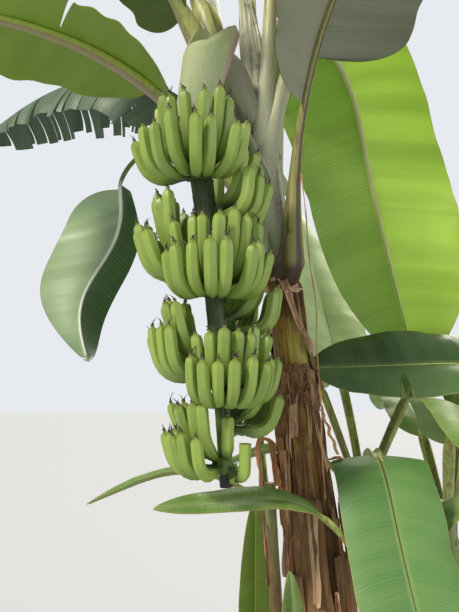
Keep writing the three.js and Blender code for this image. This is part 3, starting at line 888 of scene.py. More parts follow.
class Finishes:
    """Builds each finish once and hands out its materials."""

    def __init__(self) -> None:
        """Makes the shared groups and every finish."""
        make_veins()
        make_fibres()
        make_scuffs()
        self.leaf = {look: tuple(face.material() for face in faces) for look, faces in LEAF_LOOKS.items()}
        self.old_sheath = SheathFinish(
            "old_sheath", dark=paint(26, 14, 6), tan=paint(156, 112, 62), purple=paint(66, 42, 34),
            green=paint(156, 152, 34), ochre=paint(140, 96, 36), high=paint(192, 194, 166),
            streaked=0.6, rough=0.85,
        ).material()
        self.follower = SheathFinish(
            "follower_sheath", dark=paint(72, 54, 32), tan=paint(140, 120, 78), purple=paint(84, 62, 48),
            green=paint(112, 136, 62), ochre=paint(140, 152, 82), high=paint(120, 140, 70),
            streaked=0.3, rough=0.75,
        ).material()
        self.flap, self.pale_flap, self.straw, self.thread, self.flower = (
            DryFinish(name, paint(*light), paint(*dark), paint(*pale)).material()
            for name, light, dark, pale in (
                ("dry_flap", (132, 96, 58), (36, 22, 12), (156, 118, 78)),
                ("pale_flap", (218, 176, 136), (112, 74, 50), (232, 202, 166)),
                ("dry_strip", (196, 134, 80), (92, 52, 28), (206, 158, 110)),
                ("dry_thread", (190, 146, 92), (128, 86, 50), (200, 160, 112)),
                ("flower_end", (56, 46, 44), (22, 18, 18), (84, 70, 62)),
            )
        )
        self.skin = FruitFinish(
            "fruit_skin", skin=paint(126, 152, 58), deep=paint(66, 90, 30), ridge=paint(158, 182, 88),
            beak=paint(96, 98, 50),
        ).material()
        self.stalk = StringyFinish(
            "fruit_stalk", paint(54, 72, 38), paint(84, 102, 62), paint(38, 28, 22),
            fineness=170.0, lined=0.55, sheath=paint(170, 168, 146),
        ).material()
        # Painted light: the bract's base and lines are painted paler, standing in for the light that shines
        # through it from behind
        self.bract = StringyFinish(
            "bract", paint(190, 202, 150), paint(212, 220, 182), paint(206, 176, 170),
            fineness=320.0, lined=0.6, sheen=0.55, glow=0.45,
        ).material()


@dataclass(frozen=True)
class Stem:
    """A pseudostem's axis and girth, as in the frame, and how its old sheaths stand off."""

    name: str
    foot: tuple[float, float]
    lean: tuple[float, float]
    height: float
    foot_radius: float
    throat_radius: float
    narrows: tuple[float, float]
    swell: float
    swell_height: float
    sides: int = 32
    cuts: tuple[int, ...] = (9, 7)
    lap: float = 0.002
    grain: float = 0.0006
    throat: float = 0.0
    dead: float = 0.18

    @property
    def node(self) -> str:
        """The frame's node."""
        return self.name if self.name == "sword_sucker" else self.name + "_pseudostem"

    def middle(self, height: float | np.ndarray) -> np.ndarray:
        """The axis at a height."""
        up = np.asarray(height, float)
        return np.stack([self.foot[0] + self.lean[0] * up, self.foot[1] + self.lean[1] * up, up], -1)

    def girth(self, height: float | np.ndarray) -> np.ndarray:
        """The radius at a height."""
        swell = self.swell * np.exp(-((np.asarray(height, float) / self.swell_height) ** 1.5))
        closing = 1 - 0.4 * smooth(self.height, self.height + max(0.01, self.throat), height)
        return mix(self.foot_radius, self.throat_radius, smooth(*self.narrows, height)) * closing + swell

    def seat(self, height: float, compass: float, rise: float, radius: float) -> np.ndarray:
        """Where the base of a stalk stands, just out of the stem's skin.

        Args:
            height: How high on the stem.
            compass: Which way the stalk leaves it.
            rise: The angle at which it leaves.
            radius: The stalk's radius.

        Returns:
            The base's place.
        """
        out = self.girth(height) + radius * SEAT_SHARE * math.sin(math.radians(rise)) + SEAT_GAP
        return self.middle(height) + level(compass) * out

    def laps(self, compass: np.ndarray, height: np.ndarray) -> np.ndarray:
        """The steps where one sheath's edge lies over the next, each climbing round the stem."""
        random = Seeded(len(self.name) * 7 + 3)
        raised = np.zeros_like(compass)
        for _ in range(6):
            start, climb, wide = random.between(0, 360), random.between(-40, 40), random.between(20, 60)
            behind = np.mod(compass - start - climb * height, 360)
            raised += self.lap * random.between(0.5, 1.2) * np.exp(-behind / wide) * smooth(0, 3, behind)
        return raised - self.lap

    def living(self, spots: np.ndarray, height: np.ndarray) -> np.ndarray:
        """How alive the sheaths are at each point: dead and dry near the ground."""
        patches = rough(spots, (9, 9, 3.5), seed=1.0)
        return smooth(self.dead, self.dead + 0.32, height / self.height + 0.3 * patches)

    def build(self) -> bpy.types.Object:
        """A column that follows the axis, with the sheaths' laps and fibres as relief."""
        piece = Bench.column(self.name + "_sheaths", self.sides, self.cuts)
        share, turn, hollow = Bench.rings(piece)
        height = (self.height + self.throat) * share**1.15
        compass = np.degrees(turn)
        around = np.stack([np.cos(turn) * 3, np.sin(turn) * 3, height], -1)
        fibres = rough(around, (7, 7, 5), seed=2.0) + 0.5 * rough(around, (19, 19, 9), seed=3.0)
        radius = (self.girth(height) + self.laps(compass, height) + self.grain * 2 * fibres) * hollow
        spots = self.middle(height) + level(compass) * radius[:, None]
        Bench.move(piece, spots)
        Bench.mark(piece, "alive", self.living(spots, height))
        return piece

    def dress(self, finishes: Finishes) -> bpy.types.Object:
        """Builds the stem and gives it its finish."""
        piece = self.build()
        Bench.wear(piece, finishes.follower)
        Bench.shade(piece)
        return Bench.deliver(piece, "follower_stem", self.node)


@dataclass(frozen=True)
class MainStem(Stem):
    """The fruiting pseudostem: its old sheaths are brown, torn and lifted below, and green above."""

    def living(self, spots: np.ndarray, height: np.ndarray) -> np.ndarray:
        """Green above the last dead sheath, and in a few patches where dead sheaths have fallen away."""
        patches = rough(spots, (12, 12, 5), seed=4.0)
        beside = spots - self.middle(height)
        compass = np.degrees(np.arctan2(beside[:, 1], beside[:, 0]))
        top = smooth(1.66, 1.76, height + 0.05 * patches)
        facing = np.clip(1 - np.abs(spots[:, 0] + 0.12 * height) / 0.1, 0, 1)
        band = smooth(1.38, 1.42, height + 0.02 * patches) * smooth(1.58, 1.54, height + 0.03 * patches)
        window = band * smooth(0.1, 0.5, facing + 0.3 * patches)
        low = 0.8 * smooth(0.3, 0.5, patches) * smooth(0.75, 0.95, height)
        # The stripe and the spot are on the photograph's side of the stem
        within = smooth(1.04, 1.12, height) * smooth(1.44, 1.38, height)
        stripe = 1.3 * within * np.exp(-(((compass + 72 + 10 * patches) / 13) ** 2))
        spot = 1.2 * np.exp(-(((compass + 117) / 11) ** 2) - ((height - 1.17) / 0.028) ** 2)
        return np.clip(top + window + low + stripe + spot, 0, 1)

    def dress(self, finishes: Finishes) -> bpy.types.Object:
        """Builds the stem and gives it its finish."""
        piece = self.build()
        Bench.wear(piece, finishes.old_sheath)
        Bench.shade(piece, SHEATH_ANGLE)
        return Bench.deliver(piece, "old_sheath", self.node)


@dataclass(frozen=True)
class BentLine:
    """A line that starts at an angle and is turned down by weight, and may swing and roll over."""

    base: np.ndarray
    compass: float
    rise: float
    droop: float
    bend: tuple[float, float]
    length: float
    swing: float = 0.0
    roll: float = 0.0

    def heading(self, share: np.ndarray) -> tuple[np.ndarray, np.ndarray, np.ndarray]:
        """The directions along, to the side and out of the face, before the roll."""
        climb = np.radians(self.rise - self.droop * smooth(*self.bend, share))[:, None]
        flat = level(self.compass + self.swing * share)
        up = np.array([0.0, 0.0, 1.0])
        along = flat * np.cos(climb) + up * np.sin(climb)
        face = -flat * np.sin(climb) + up * np.cos(climb)
        side = np.stack([-flat[:, 1], flat[:, 0], np.zeros(len(flat))], -1)
        return along, side, face

    def at(self, share: np.ndarray) -> tuple[np.ndarray, np.ndarray, np.ndarray, np.ndarray]:
        """Places and directions at shares of the length.

        Args:
            share: Shares of the length, 0 at the base.

        Returns:
            The places, and the directions along, to the side and out of the face.
        """
        share = np.asarray(share, float)
        steps = (np.arange(LINE_STEPS) + 0.5) / LINE_STEPS
        walked = np.cumsum(self.heading(steps)[0] * self.length / LINE_STEPS, 0)
        places = np.vstack([self.base, self.base + walked])
        stations = np.arange(LINE_STEPS + 1) / LINE_STEPS
        spots = follow(share, stations, places)
        along, side, face = self.heading(np.clip(share, 0, 1))
        over = np.radians(self.roll * smooth(0.1, 0.7, share))[:, None]
        turned = side * np.cos(over) - face * np.sin(over)
        raised = face * np.cos(over) + side * np.sin(over)
        return spots, along, turned, raised


@dataclass
class Leaf:
    """A leaf: its stalk, its rib, and a blade that is folded, cambered, rippled and torn."""

    name: str
    stem: Stem
    height: float
    compass: float
    rise: float
    droop: float
    bend: tuple[float, float]
    petiole: float
    blade: float
    width: float
    radius: float
    fold: float
    swing: float = 0.0
    roll: float = 0.0
    tears: int = 0
    parted: bool = False
    look: Look = Look.YOUNG
    seed: int = 1
    extra_tears: int = 0
    camber: float = 0.1
    ripple: float = 0.035
    heel: tuple[float, float] = (0.13, 0.13)
    tip_from: tuple[float, float] = (0.42, 0.42)
    shares: tuple[float, float] = (1.0, 1.0)
    drift: tuple[float, float, float] = (0.0, 0.0, 0.0)
    starts: tuple[float, float] = (0.0, 0.0)
    sway: float = 0.0
    curl: float = 0.0
    sheath: float = 0.3
    flare: float = 0.0
    spread: float = 1.1
    own_slits: tuple[tuple[float, int], ...] = ()
    stout: float = 1.0
    gap: float = 1.0
    slump: float = 10.0
    across: int = 20
    along: int = 90
    thickness: float = 0.0022

    @cached_property
    def line(self) -> BentLine:
        """The leaf's line, from the stem's skin to its tip."""
        base = self.stem.seat(self.height, self.compass, self.rise, self.radius)
        return BentLine(
            base, self.compass, self.rise, self.droop, self.bend, self.length, self.swing, self.roll,
        )

    @cached_property
    def slits(self) -> list[tuple[float, int]]:
        """The tears: each one's share of the blade, and which half it is in by sign, or 0 for both."""
        random = Seeded(self.seed)
        slits = []
        for index in range(self.tears):
            place = mix(TEAR_FIRST, TEAR_LAST, (index + 0.25 + 0.5 * random()) / self.tears)
            hand = 0 if self.tears > MANY_TEARS else -1 if random() < 0.5 else 1
            slits.append((place, hand))
        for index in range(self.extra_tears):
            place = mix(0.1, 0.97, (index + 0.15 + 0.7 * random()) / self.extra_tears)
            if all(abs(place - other) > 0.012 for other, _ in slits):
                slits.append((place, -1 if random() < 0.5 else 1))
        return sorted(self.own_slits or slits)

    @property
    def length(self) -> float:
        """The whole length, stalk and blade."""
        return self.petiole + self.blade

    @property
    def nodes(self) -> tuple[str, ...]:
        """The frame's nodes for this leaf."""
        return (self.name + "_inner", self.name + "_outer") if self.parted else (self.name,)

    def half_width(self, blade: np.ndarray, across: np.ndarray) -> np.ndarray:
        """The width of one half of the blade: a round heel, long even sides and a blunt tip.

        Args:
            blade: Shares along the blade.
            across: Which half, by its sign.

        Returns:
            The width from the rib to the edge.
        """
        heel_share, tip_from, part, start = (
            np.where(across < 0, *pair) for pair in (self.heel, self.tip_from, self.shares, self.starts)
        )
        heel = np.sqrt(1 - (1 - np.clip((blade - start) / heel_share, 0, 1)) ** 2)
        tip = (1 - np.clip((blade - tip_from) / (1 - tip_from), 0, 1) ** 2.3) ** 0.66
        shifted = 1 - np.sign(across) * self.sway * (blade - SWAY_PIVOT)
        return np.maximum(0.003, self.width / 2 * heel * tip * part * shifted)

    def spine(self, share: np.ndarray) -> tuple[np.ndarray, np.ndarray, np.ndarray]:
        """The leaf's line with its own small sideways drift.

        Args:
            share: Shares of the whole length.

        Returns:
            The places, and the directions to the side and out of the face.
        """
        spots, _, side, face = self.line.at(share)
        blade = np.clip((share * self.length - self.petiole) / self.blade, 0, 1)
        aside = self.drift[0] * 4 * blade * (1 - blade) + self.drift[1] * blade**2
        aside = aside - self.curl * np.sin(2 * np.pi * blade)
        spots = spots + side * aside[:, None]
        spots[:, 2] += self.drift[2] * blade**2
        return spots, side, face

    def stations(self) -> np.ndarray:
        """The rows of the blade's grid: closer at both ends, with a pair of rows at each tear."""
        even = np.linspace(0, 1, self.along + 1)
        rows = even - 0.11 * np.sin(2 * np.pi * even)
        places = np.array([place for place, _ in self.slits])
        if len(places):
            rows = rows[np.min(np.abs(rows[:, None] - places[None]), 1) > TEAR_CLEAR]
        pairs = [place + shift for place in places for shift in (-TEAR_ROW, TEAR_ROW)]
        return np.sort(np.concatenate([rows, pairs]))

    def tear_open(self, across: np.ndarray, blade: np.ndarray) -> tuple[np.ndarray, np.ndarray]:
        """Opens the tears, and lets each strip between two of them hang a little on its own.

        Args:
            across: From -1 to 1 over the blade.
            blade: Shares along the blade.

        Returns:
            The moved shares, and each point's extra fold in degrees.
        """
        moved = blade.copy()
        slump = np.zeros_like(blade)
        out = (np.abs(across) - TEAR_ROOT) / (1 - TEAR_ROOT)
        widest = 0.012 * self.gap * min(1.0, 0.5 / self.blade + 0.25)
        random = Seeded(self.seed * 31 + 5)
        for hand in (-1, 1):
            here = np.sign(across) == hand
            places = [0.0] + [place for place, side in self.slits if side in (0, hand)] + [1.0]
            for place in places[1:-1]:
                near = here & (np.abs(blade - place) < TEAR_NEAR) & (out > 0)
                moved = np.where(near, place + np.sign(blade - place) * widest * mix(0.12, 1.0, out), moved)
            for low, high in zip(places, places[1:]):
                own = random.between(-self.slump, self.slump) if len(places) > 2 else 0.0
                strip = here & (blade >= low - 0.0001) & (blade <= high + 0.0001)
                slump = np.where(strip, own * np.clip(out, 0, 1), slump)
        return moved, slump

    def blade_sheet(self, finish: Sequence[bpy.types.Material]) -> bpy.types.Object:
        """The blade: a grid cut at its tears and laid along the leaf's line, then given its thickness.

        Args:
            finish: The finishes of its upper side, its underside and its stalk.

        Returns:
            The blade.
        """
        rows = self.stations()
        piece = Bench.sheet(self.name + "_sheet", self.across, len(rows) - 1)
        step = 2 / (len(rows) - 1)

        def torn(face: bmesh.types.BMFace) -> bool:
            """Whether a face lies in a tear."""
            spot = face.calc_center_median()
            row = round((spot.y + 1) / step - 0.5)
            gap = rows[row + 1] - rows[row]
            middle = (rows[row + 1] + rows[row]) / 2
            half = int(np.sign(-spot.x))
            return gap < 2.1 * TEAR_ROW and abs(spot.x) > TEAR_ROOT and any(
                abs(middle - place) < TEAR_NEAR and hand in (0, half) for place, hand in self.slits
            )

        if self.slits:
            Bench.edit(piece, faces=torn)
            bpy.ops.mesh.delete(type="FACE")
            Bench.close()
        flat = Bench.corners(piece)
        across = -flat[:, 0]
        blade = rows[np.clip(np.round((flat[:, 1] + 1) / step).astype(int), 0, len(rows) - 1)]
        moved, slump = self.tear_open(across, blade)
        Bench.move(piece, self.blade_spots(across, moved, slump))
        wide = self.half_width(blade, across)
        Bench.mark(piece, "leaf_place", np.stack([across, moved * self.blade, wide], -1))
        Bench.wear(piece, *finish)
        Bench.modify(
            piece, "SOLIDIFY", thickness=self.thickness, offset=-1, material_offset=1, material_offset_rim=0,
        )
        return piece

    def blade_spots(self, across: np.ndarray, blade: np.ndarray, slump: np.ndarray) -> np.ndarray:
        """Where the points of the blade lie.

        Args:
            across: From -1 to 1 over the blade.
            blade: Shares along the blade.
            slump: Extra fold in degrees.

        Returns:
            Their places.
        """
        spots, side, face = self.spine((self.petiole + blade * self.blade) / self.length)
        wide, reach = self.half_width(blade, across), np.abs(across)
        fold = np.radians(self.fold + slump * 0.6)
        out = reach * wide
        run = blade * self.blade
        hand = np.sign(across) + self.seed
        waves = np.sin(run * 27 + hand * 1.7) * (0.7 + 0.6 * np.sin(run * 9 + hand * 2.3))
        waves = waves + 0.5 * np.sin(run * 58 + hand * 3.1) * (0.6 + 0.7 * np.sin(run * 13 + hand))
        bulge = wide * (self.camber * 4 * reach * (1 - reach) + self.ripple * reach**2.5 * waves)
        bulge = bulge * smooth(0, 0.12, blade)
        level_out = out * np.cos(fold) - bulge * np.sin(fold)
        above = out * np.sin(fold) + bulge * np.cos(fold) - 0.15 * slump / 10 * wide * reach**2
        return spots + side * (np.sign(across) * level_out)[:, None] + face * above[:, None]

    def foot_line(self, drop: np.ndarray) -> tuple[np.ndarray, np.ndarray, np.ndarray]:
        """The line below the stalk's base, where its sheath closes on the stem and sinks into it.

        Args:
            drop: 0 at the base, 1 at the sheath's lower end.

        Returns:
            The places, and the directions to the side and out of the face.
        """
        deep = min(self.sheath, self.height * 0.45)
        start, along, side, _ = (value[0] for value in self.line.at(np.zeros(1)))
        low_height = self.height - deep
        sunk = self.stem.girth(low_height) - self.radius * 1.4
        low = self.stem.middle(low_height) + level(self.compass) * sunk
        knee = start - along * deep * 0.42
        t = drop[:, None]
        forward = unit((start - knee) * (1 - t) + (knee - low) * t)
        sides = np.repeat(side[None], len(drop), 0)
        return bow(start, knee, low, t), sides, np.cross(forward, sides)

    def stalk(self) -> bpy.types.Object:
        """The stalk and rib: a channelled column that flattens into a ridge under the blade."""
        sunk, tip = -0.2, 0.985
        piece = Bench.column(self.name + "_stalk", 16, (9, 7))
        up, turn, hollow = Bench.rings(piece)
        share = mix(sunk, tip, up)
        spots, side, face = self.spine(np.clip(share, 0, 1))
        below = share < 0
        drop = np.clip(share / sunk, 0, 1)
        foot = self.foot_line(drop)
        for own, other in ((spots, foot[0]), (side, foot[1]), (face, foot[2])):
            own[below] = other[below]
        blade = (share * self.length - self.petiole) / self.blade
        root = 1.25 * min(1.0, self.stout)
        thick = self.radius * mix(root, self.stout, smooth(-self.petiole / self.blade, 0, blade))
        thick = thick * (1 + self.flare * np.clip(1 - share / 0.17, 0, 1) ** 1.5)
        cross, rise = np.cos(turn), np.sin(turn)
        wall = np.abs(cross)
        channel = (-0.1 + 0.8 * smooth(0.1, 0.8, wall)) * np.sqrt(np.clip(1 - wall**6, 0, 1))
        stalk_up = np.where(rise > 0, channel, rise) * thick * mix(1, 0.6, drop)
        rib = mix(self.radius * self.stout * 0.7, 0.003, np.clip(blade, 0, 1) ** 0.8)
        depth = rib + 0.3 * self.blade * THICK_SHARE
        rib_up = np.where(rise > 0, 0.1 * rib * rise, -depth * np.abs(rise) ** 0.8)
        fold = math.radians(self.fold)
        rib_up = rib_up + np.abs(cross) * rib * math.tan(max(-1.0, min(0.9, fold)))
        opened = smooth(-0.06, 0.04, blade)
        x = mix(cross * thick * (1 + self.spread * drop), cross * rib * 1.15, opened) * hollow
        y = mix(stalk_up, rib_up, opened) * hollow
        y = y + np.where(below, x * x / (2 * self.stem.girth(self.height)) * smooth(0, 0.4, drop), 0)
        Bench.move(piece, spots + side * x[:, None] + face * y[:, None])
        Bench.mark(piece, "leaf_place", np.stack([cross, share * self.length, thick], -1))
        Bench.mark(piece, "ribbed", smooth(-0.03, 0.03, blade))
        Bench.outwards(piece)
        return piece

    def dress(self, finishes: Finishes) -> bpy.types.Object:
        """Builds the blade and the stalk, gives them their finishes and joins them."""
        finish = finishes.leaf[self.look]
        blade, stalk = self.blade_sheet(finish), self.stalk()
        Bench.wear(stalk, *finish)
        Bench.use_slot(stalk, 2)
        piece = Bench.join(self.name + "_fresh", [blade, stalk])
        Bench.shade(piece)
        return Bench.deliver(piece, "leaf" if self.stem.name == "main" else "young_leaf", *self.nodes)


@dataclass(frozen=True)
class FruitStalk:
    """The stalk that climbs out of the throat, arches over and hangs down through the hands."""

    stem: Stem
    height: float = 2.29
    compass: float = 230.0
    rise: float = 66.0
    climb: float = 0.14
    fall: float = 0.33
    throat_radius: float = 0.038
    top: tuple[float, float, float] = (-0.466, -0.3, 2.05)
    belly: tuple[float, float, float] = (-0.404, -0.312, 1.64)
    end: tuple[float, float, float] = (-0.378, -0.296, 1.085)
    top_radius: float = 0.034
    end_radius: float = 0.018
    thicker: float = 0.003
    hanging: float = 1.0
    samples: int = 400

    def hanging_line(self, t: np.ndarray) -> np.ndarray:
        """The middle of the hanging part, at shares of the way down."""
        return bow(np.array(self.top), np.array(self.belly), np.array(self.end), t)

    def curve(self) -> tuple[np.ndarray, np.ndarray]:
        """Even points down the whole stalk, and their radii."""
        t = np.linspace(0, 1, self.samples)[:, None]
        top, belly = np.array(self.top), np.array(self.belly)
        down = (belly - top) / np.linalg.norm(belly - top)
        start = self.stem.seat(self.height, self.compass, self.rise, self.throat_radius)
        lift = level(self.compass) * math.cos(math.radians(self.rise))
        lift = lift + np.array([0, 0, math.sin(math.radians(self.rise))])
        inner = start - lift * 0.1 - level(self.compass) * 0.05
        knee, over = start + lift * self.climb, top - down * self.fall
        arch = start * (1 - t) ** 3 + knee * 3 * t * (1 - t) ** 2 + over * 3 * t**2 * (1 - t) + top * t**3
        points = np.vstack([mix(inner, start, t[::8]), arch[1:], self.hanging_line(t)[1:]])
        steps = np.linalg.norm(np.diff(points, axis=0), axis=1)
        run = np.concatenate([[0], np.cumsum(steps)])
        even = np.linspace(0, run[-1], self.samples)
        spots = follow(even, run, points)
        fallen = np.clip((self.top[2] - spots[:, 2]) / (self.top[2] - self.end[2]), 0, 1)
        tapering = mix(self.top_radius, self.end_radius, fallen)
        return spots, np.where(even < run[-1] - self.hanging, self.top_radius + self.thicker, tapering)

    def at_height(self, height: float) -> tuple[np.ndarray, float]:
        """The hanging part's middle and radius at a height."""
        fall = self.hanging_line(np.linspace(0, 1, 2001)[:, None])
        run = np.concatenate([[0], np.cumsum(np.linalg.norm(np.diff(fall, axis=0), axis=1))])
        nearest = int(np.argmin(np.abs(fall[:, 2] - height)))
        return fall[nearest], float(mix(self.top_radius, self.end_radius, run[nearest] / run[-1]))

    def arch_at(self, height: float) -> np.ndarray:
        """The middle of the arch's falling side at a height."""
        spots, _ = self.curve()
        peak = int(np.argmax(spots[:, 2]))
        falling = spots[peak:]
        return falling[int(np.argmin(np.abs(falling[:, 2] - height)))]

    def build(self) -> bpy.types.Object:
        """A column laid down the curve, with flutes, bract scars and a cut end."""
        piece = Bench.column("fruit_stalk", 36, (15, 11))
        up, turn, hollow = Bench.rings(piece)
        share = 1 - up
        spots, radius = self.curve()
        stations = np.linspace(0, 1, self.samples)
        tangent = unit(np.gradient(spots, axis=0))
        plane = np.cross(spots[self.samples // 2] - spots[0], spots[-1] - spots[0])
        side = np.repeat((plane / np.linalg.norm(plane))[None], self.samples, 0)
        side = unit(side - tangent * np.sum(side * tangent, 1)[:, None])
        face = np.cross(tangent, side)
        wide = np.interp(share, stations, radius)
        flutes = 1 + 0.035 * np.cos(11 * turn + 3 * share) + 0.02 * np.cos(23 * turn - 9 * share)
        scars = 1 + 0.03 * np.exp(-((np.mod(share * 34, 1) - 0.5) / 0.1) ** 2)
        reach = (wide * flutes * scars * hollow)[:, None]
        sides, faces = follow(share, stations, side), follow(share, stations, face)
        around = sides * np.cos(turn)[:, None] + faces * np.sin(turn)[:, None]
        Bench.move(piece, follow(share, stations, spots) + around * reach)
        Bench.mark(piece, "rim", smooth(0.972, 0.98, share))
        Bench.mark(piece, "sheathed", smooth(0.36, 0.3, share))
        Bench.outwards(piece)
        return piece

    def dress(self, finishes: Finishes) -> bpy.types.Object:
        """Builds the stalk and gives it its finish."""
        piece = self.build()
        Bench.wear(piece, finishes.stalk)
        Bench.shade(piece)
        return Bench.deliver(piece, "fruit_stalk", "fruit_stalk_arch", "fruit_stalk_fall")


@dataclass(frozen=True)
class FingerRow:
    """One of a hand's two rows: how its fingers leave the cushion and curl."""

    count: int
    lift: float
    leaves: float
    curls: float
    bend: tuple[float, float]
    share: float
    spread: float


FINGER_ROWS = (
    FingerRow(8, -0.008, -10, 88, (0.16, 0.74), 1.0, 1.0),
    FingerRow(7, 0.014, 28, 50, (0.08, 0.7), 0.95, 0.92),
)


class FingerModel:
    """One straight finger and one withered flower end, which every finger of the bunch is copied from."""

    def __init__(self) -> None:
        """Models the finger, its ridges bevelled, and the flower end."""
        self.finger = Bench.column("finger_model", 5, (15,), rounding=0.13)
        self.wisp = Bench.column("wisp_model", 4, (4,))

    @staticmethod
    def swelling(share: np.ndarray) -> np.ndarray:
        """The finger's girth at a share of its length: thin stalk, full body, blunt shoulder, short beak."""
        body = mix(0.5, 1, smooth(0.04, 0.3, share))
        shoulder = mix(0.3, 1, np.sqrt(1 - np.clip((share - 0.85) / 0.12, 0, 1) ** 2.4))
        return body * shoulder

    def copy_finger(
        self, name: str, line: BentLine, radius: float, roll: float, tint: float, cut: bool = False,
    ) -> bpy.types.Object:
        """Copies the finger onto its own line.

        Args:
            name: The copy's name.
            line: Where it lies.
            radius: Its girth.
            roll: How its ridges are turned, in degrees.
            tint: Its own shade, from 0 to 1.
            cut: Whether its tip is cut off flat.

        Returns:
            The finger.
        """
        piece = Bench.copy(self.finger, name)
        even, turn, hollow = Bench.rings(piece)
        share = even + 0.17 * np.sin(np.pi * even)
        spots, _, side, face = line.at(share)
        turn = turn + math.radians(roll)
        wide = hollow * self.swelling(share * (0.78 if cut else 1.0)) * radius
        spots = spots + side * (np.cos(turn) * wide)[:, None] + face * (np.sin(turn) * wide)[:, None]
        Bench.move(piece, spots)
        tip = np.where(even > 0.999, 1.0, np.minimum(share, 0.9)) if cut else share
        # The second number lets the skin's painted highlight in
        Bench.mark(piece, "finger_place", np.stack([tip, np.ones(len(tip)), np.full(len(tip), tint)], -1))
        return piece

    def copy_wisp(self, name: str, line: BentLine, random: Seeded, thick: float) -> bpy.types.Object:
        """Copies the withered flower end onto a finger's tip, curled its own way."""
        tip, along, side, face = (value[0] for value in line.at(np.ones(1)))
        bend = side * random.between(-1, 1) + face * random.between(-1, 1)
        reach = random.between(0.012, 0.024)
        piece = Bench.copy(self.wisp, name)
        flat = Bench.corners(piece)
        share = (flat[:, 2] + 1) / 2
        middle = tip + np.outer(share * reach, along) + np.outer(share**2 * reach * 0.8, bend) - along * 0.003
        crumpled = 1 + 0.35 * np.sin(share * 17 + reach * 900)
        wide = thick * np.where(share < 0.3, 1.5, 1 - 0.8 * share) * crumpled
        spots = middle + np.outer(flat[:, 0] * wide, side) + np.outer(flat[:, 1] * wide * 0.6, face)
        Bench.move(piece, spots)
        return piece


def deliver_fruit(
    name: str, node: str, parts: Sequence[bpy.types.Object], finishes: Finishes,
) -> bpy.types.Object:
    """Gives fruit its skin and its flower ends their own finish, and joins them.

    Args:
        name: The piece's name.
        node: The frame's node that it stands for.
        parts: Cushion, fingers and flower ends.
        finishes: The plant's finishes.

    Returns:
        The piece.
    """
    for part in parts:
        Bench.wear(part, finishes.skin, finishes.flower)
        Bench.use_slot(part, int("_end" in part.name))
    piece = Bench.join(name, parts)
    Bench.shade(piece, FINGER_ANGLE)
    return Bench.deliver(piece, "fruit", node)


@dataclass(frozen=True)
class Hand:
    """A hand of fruit: a cushion on the fruit stalk with two rows of fingers that curl up."""

    number: int
    height: float
    compass: float
    spread: float
    reach: float
    longest: float = 0.262
    shortest: float = 0.206
    fattest: float = 0.0195
    slimmest: float = 0.018
    sunk: float = 0.011
    cushion_height: float = 0.04
    cushion_thickness: float = 0.015

    def cushion(self, stalk: FruitStalk) -> bpy.types.Object:
        """The cushion: a disc spun part of the way round the stalk."""
        middle, radius = stalk.at_height(self.height)
        half = self.spread * 0.94
        out = radius + self.cushion_thickness * 0.45
        Bench.clear()
        bpy.ops.mesh.primitive_circle_add(
            vertices=12, radius=1, fill_type="NGON", location=(0, 0, 0), rotation=(math.pi / 2, 0, 0),
        )
        piece = Bench.named(f"cushion_{self.number}")
        bpy.ops.object.transform_apply(location=True, rotation=True, scale=True)
        flat = Bench.corners(piece)
        away, up = flat[:, 0] * self.cushion_thickness * 0.75, flat[:, 2] * self.cushion_height * 0.55
        ray = level(self.compass - half)
        Bench.move(piece, middle + ray * (out + away)[:, None] + np.array([0, 0, 1.0]) * up[:, None])
        Bench.edit(piece)
        bpy.ops.mesh.spin(steps=14, angle=-math.radians(2 * half), center=tuple(middle), axis=(0, 0, 1))
        Bench.close()
        Bench.outwards(piece)
        # The cushion sits low on the way along and has no painted highlight, so it takes the painted shade
        Bench.mark(piece, "finger_place", np.tile([0.12, 0.0, 0.5], (len(piece.data.vertices), 1)))
        return piece

    def fingers(self, stalk: FruitStalk, model: FingerModel, hands: int) -> list[bpy.types.Object]:
        """Every finger of both rows, each with its flower end."""
        middle, radius = stalk.at_height(self.height)
        share = (self.number - 1) / (hands - 1)
        length = self.reach * mix(self.longest, self.shortest, share)
        thick = mix(self.fattest, self.slimmest, share)
        random = Seeded(self.number * 97)
        made = []
        for row in FINGER_ROWS:
            for index in range(row.count):
                along = 2 * index / (row.count - 1) - 1
                turn = self.compass + along * self.spread * row.spread + random.between(-2.5, 2.5)
                base = middle + level(turn) * (radius + self.sunk)
                base[2] = self.height + row.lift
                line = BentLine(
                    base, turn, row.leaves + random.between(-5, 5), -(row.curls + random.between(-7, 7)),
                    row.bend, length * row.share * (1 - 0.08 * along * along) * random.between(0.92, 1.03),
                    swing=random.between(-9, 9),
                )
                name = f"finger_{self.number}_{len(made)}"
                girth = thick * random.between(0.95, 1.03)
                made.append(model.copy_finger(name, line, girth, roll=random() * 72, tint=random()))
                for _ in range(1 + int(random() > 0.35)):
                    made.append(model.copy_wisp(name + "_end", line, random, random.between(0.003, 0.0052)))
        return made

    def dress(
        self, stalk: FruitStalk, model: FingerModel, hands: int, finishes: Finishes,
    ) -> bpy.types.Object:
        """Builds the hand, gives it its finishes and joins it."""
        parts = [self.cushion(stalk), *self.fingers(stalk, model, hands)]
        return deliver_fruit(f"fruit_hand_{self.number}", f"hand_{self.number}", parts, finishes)


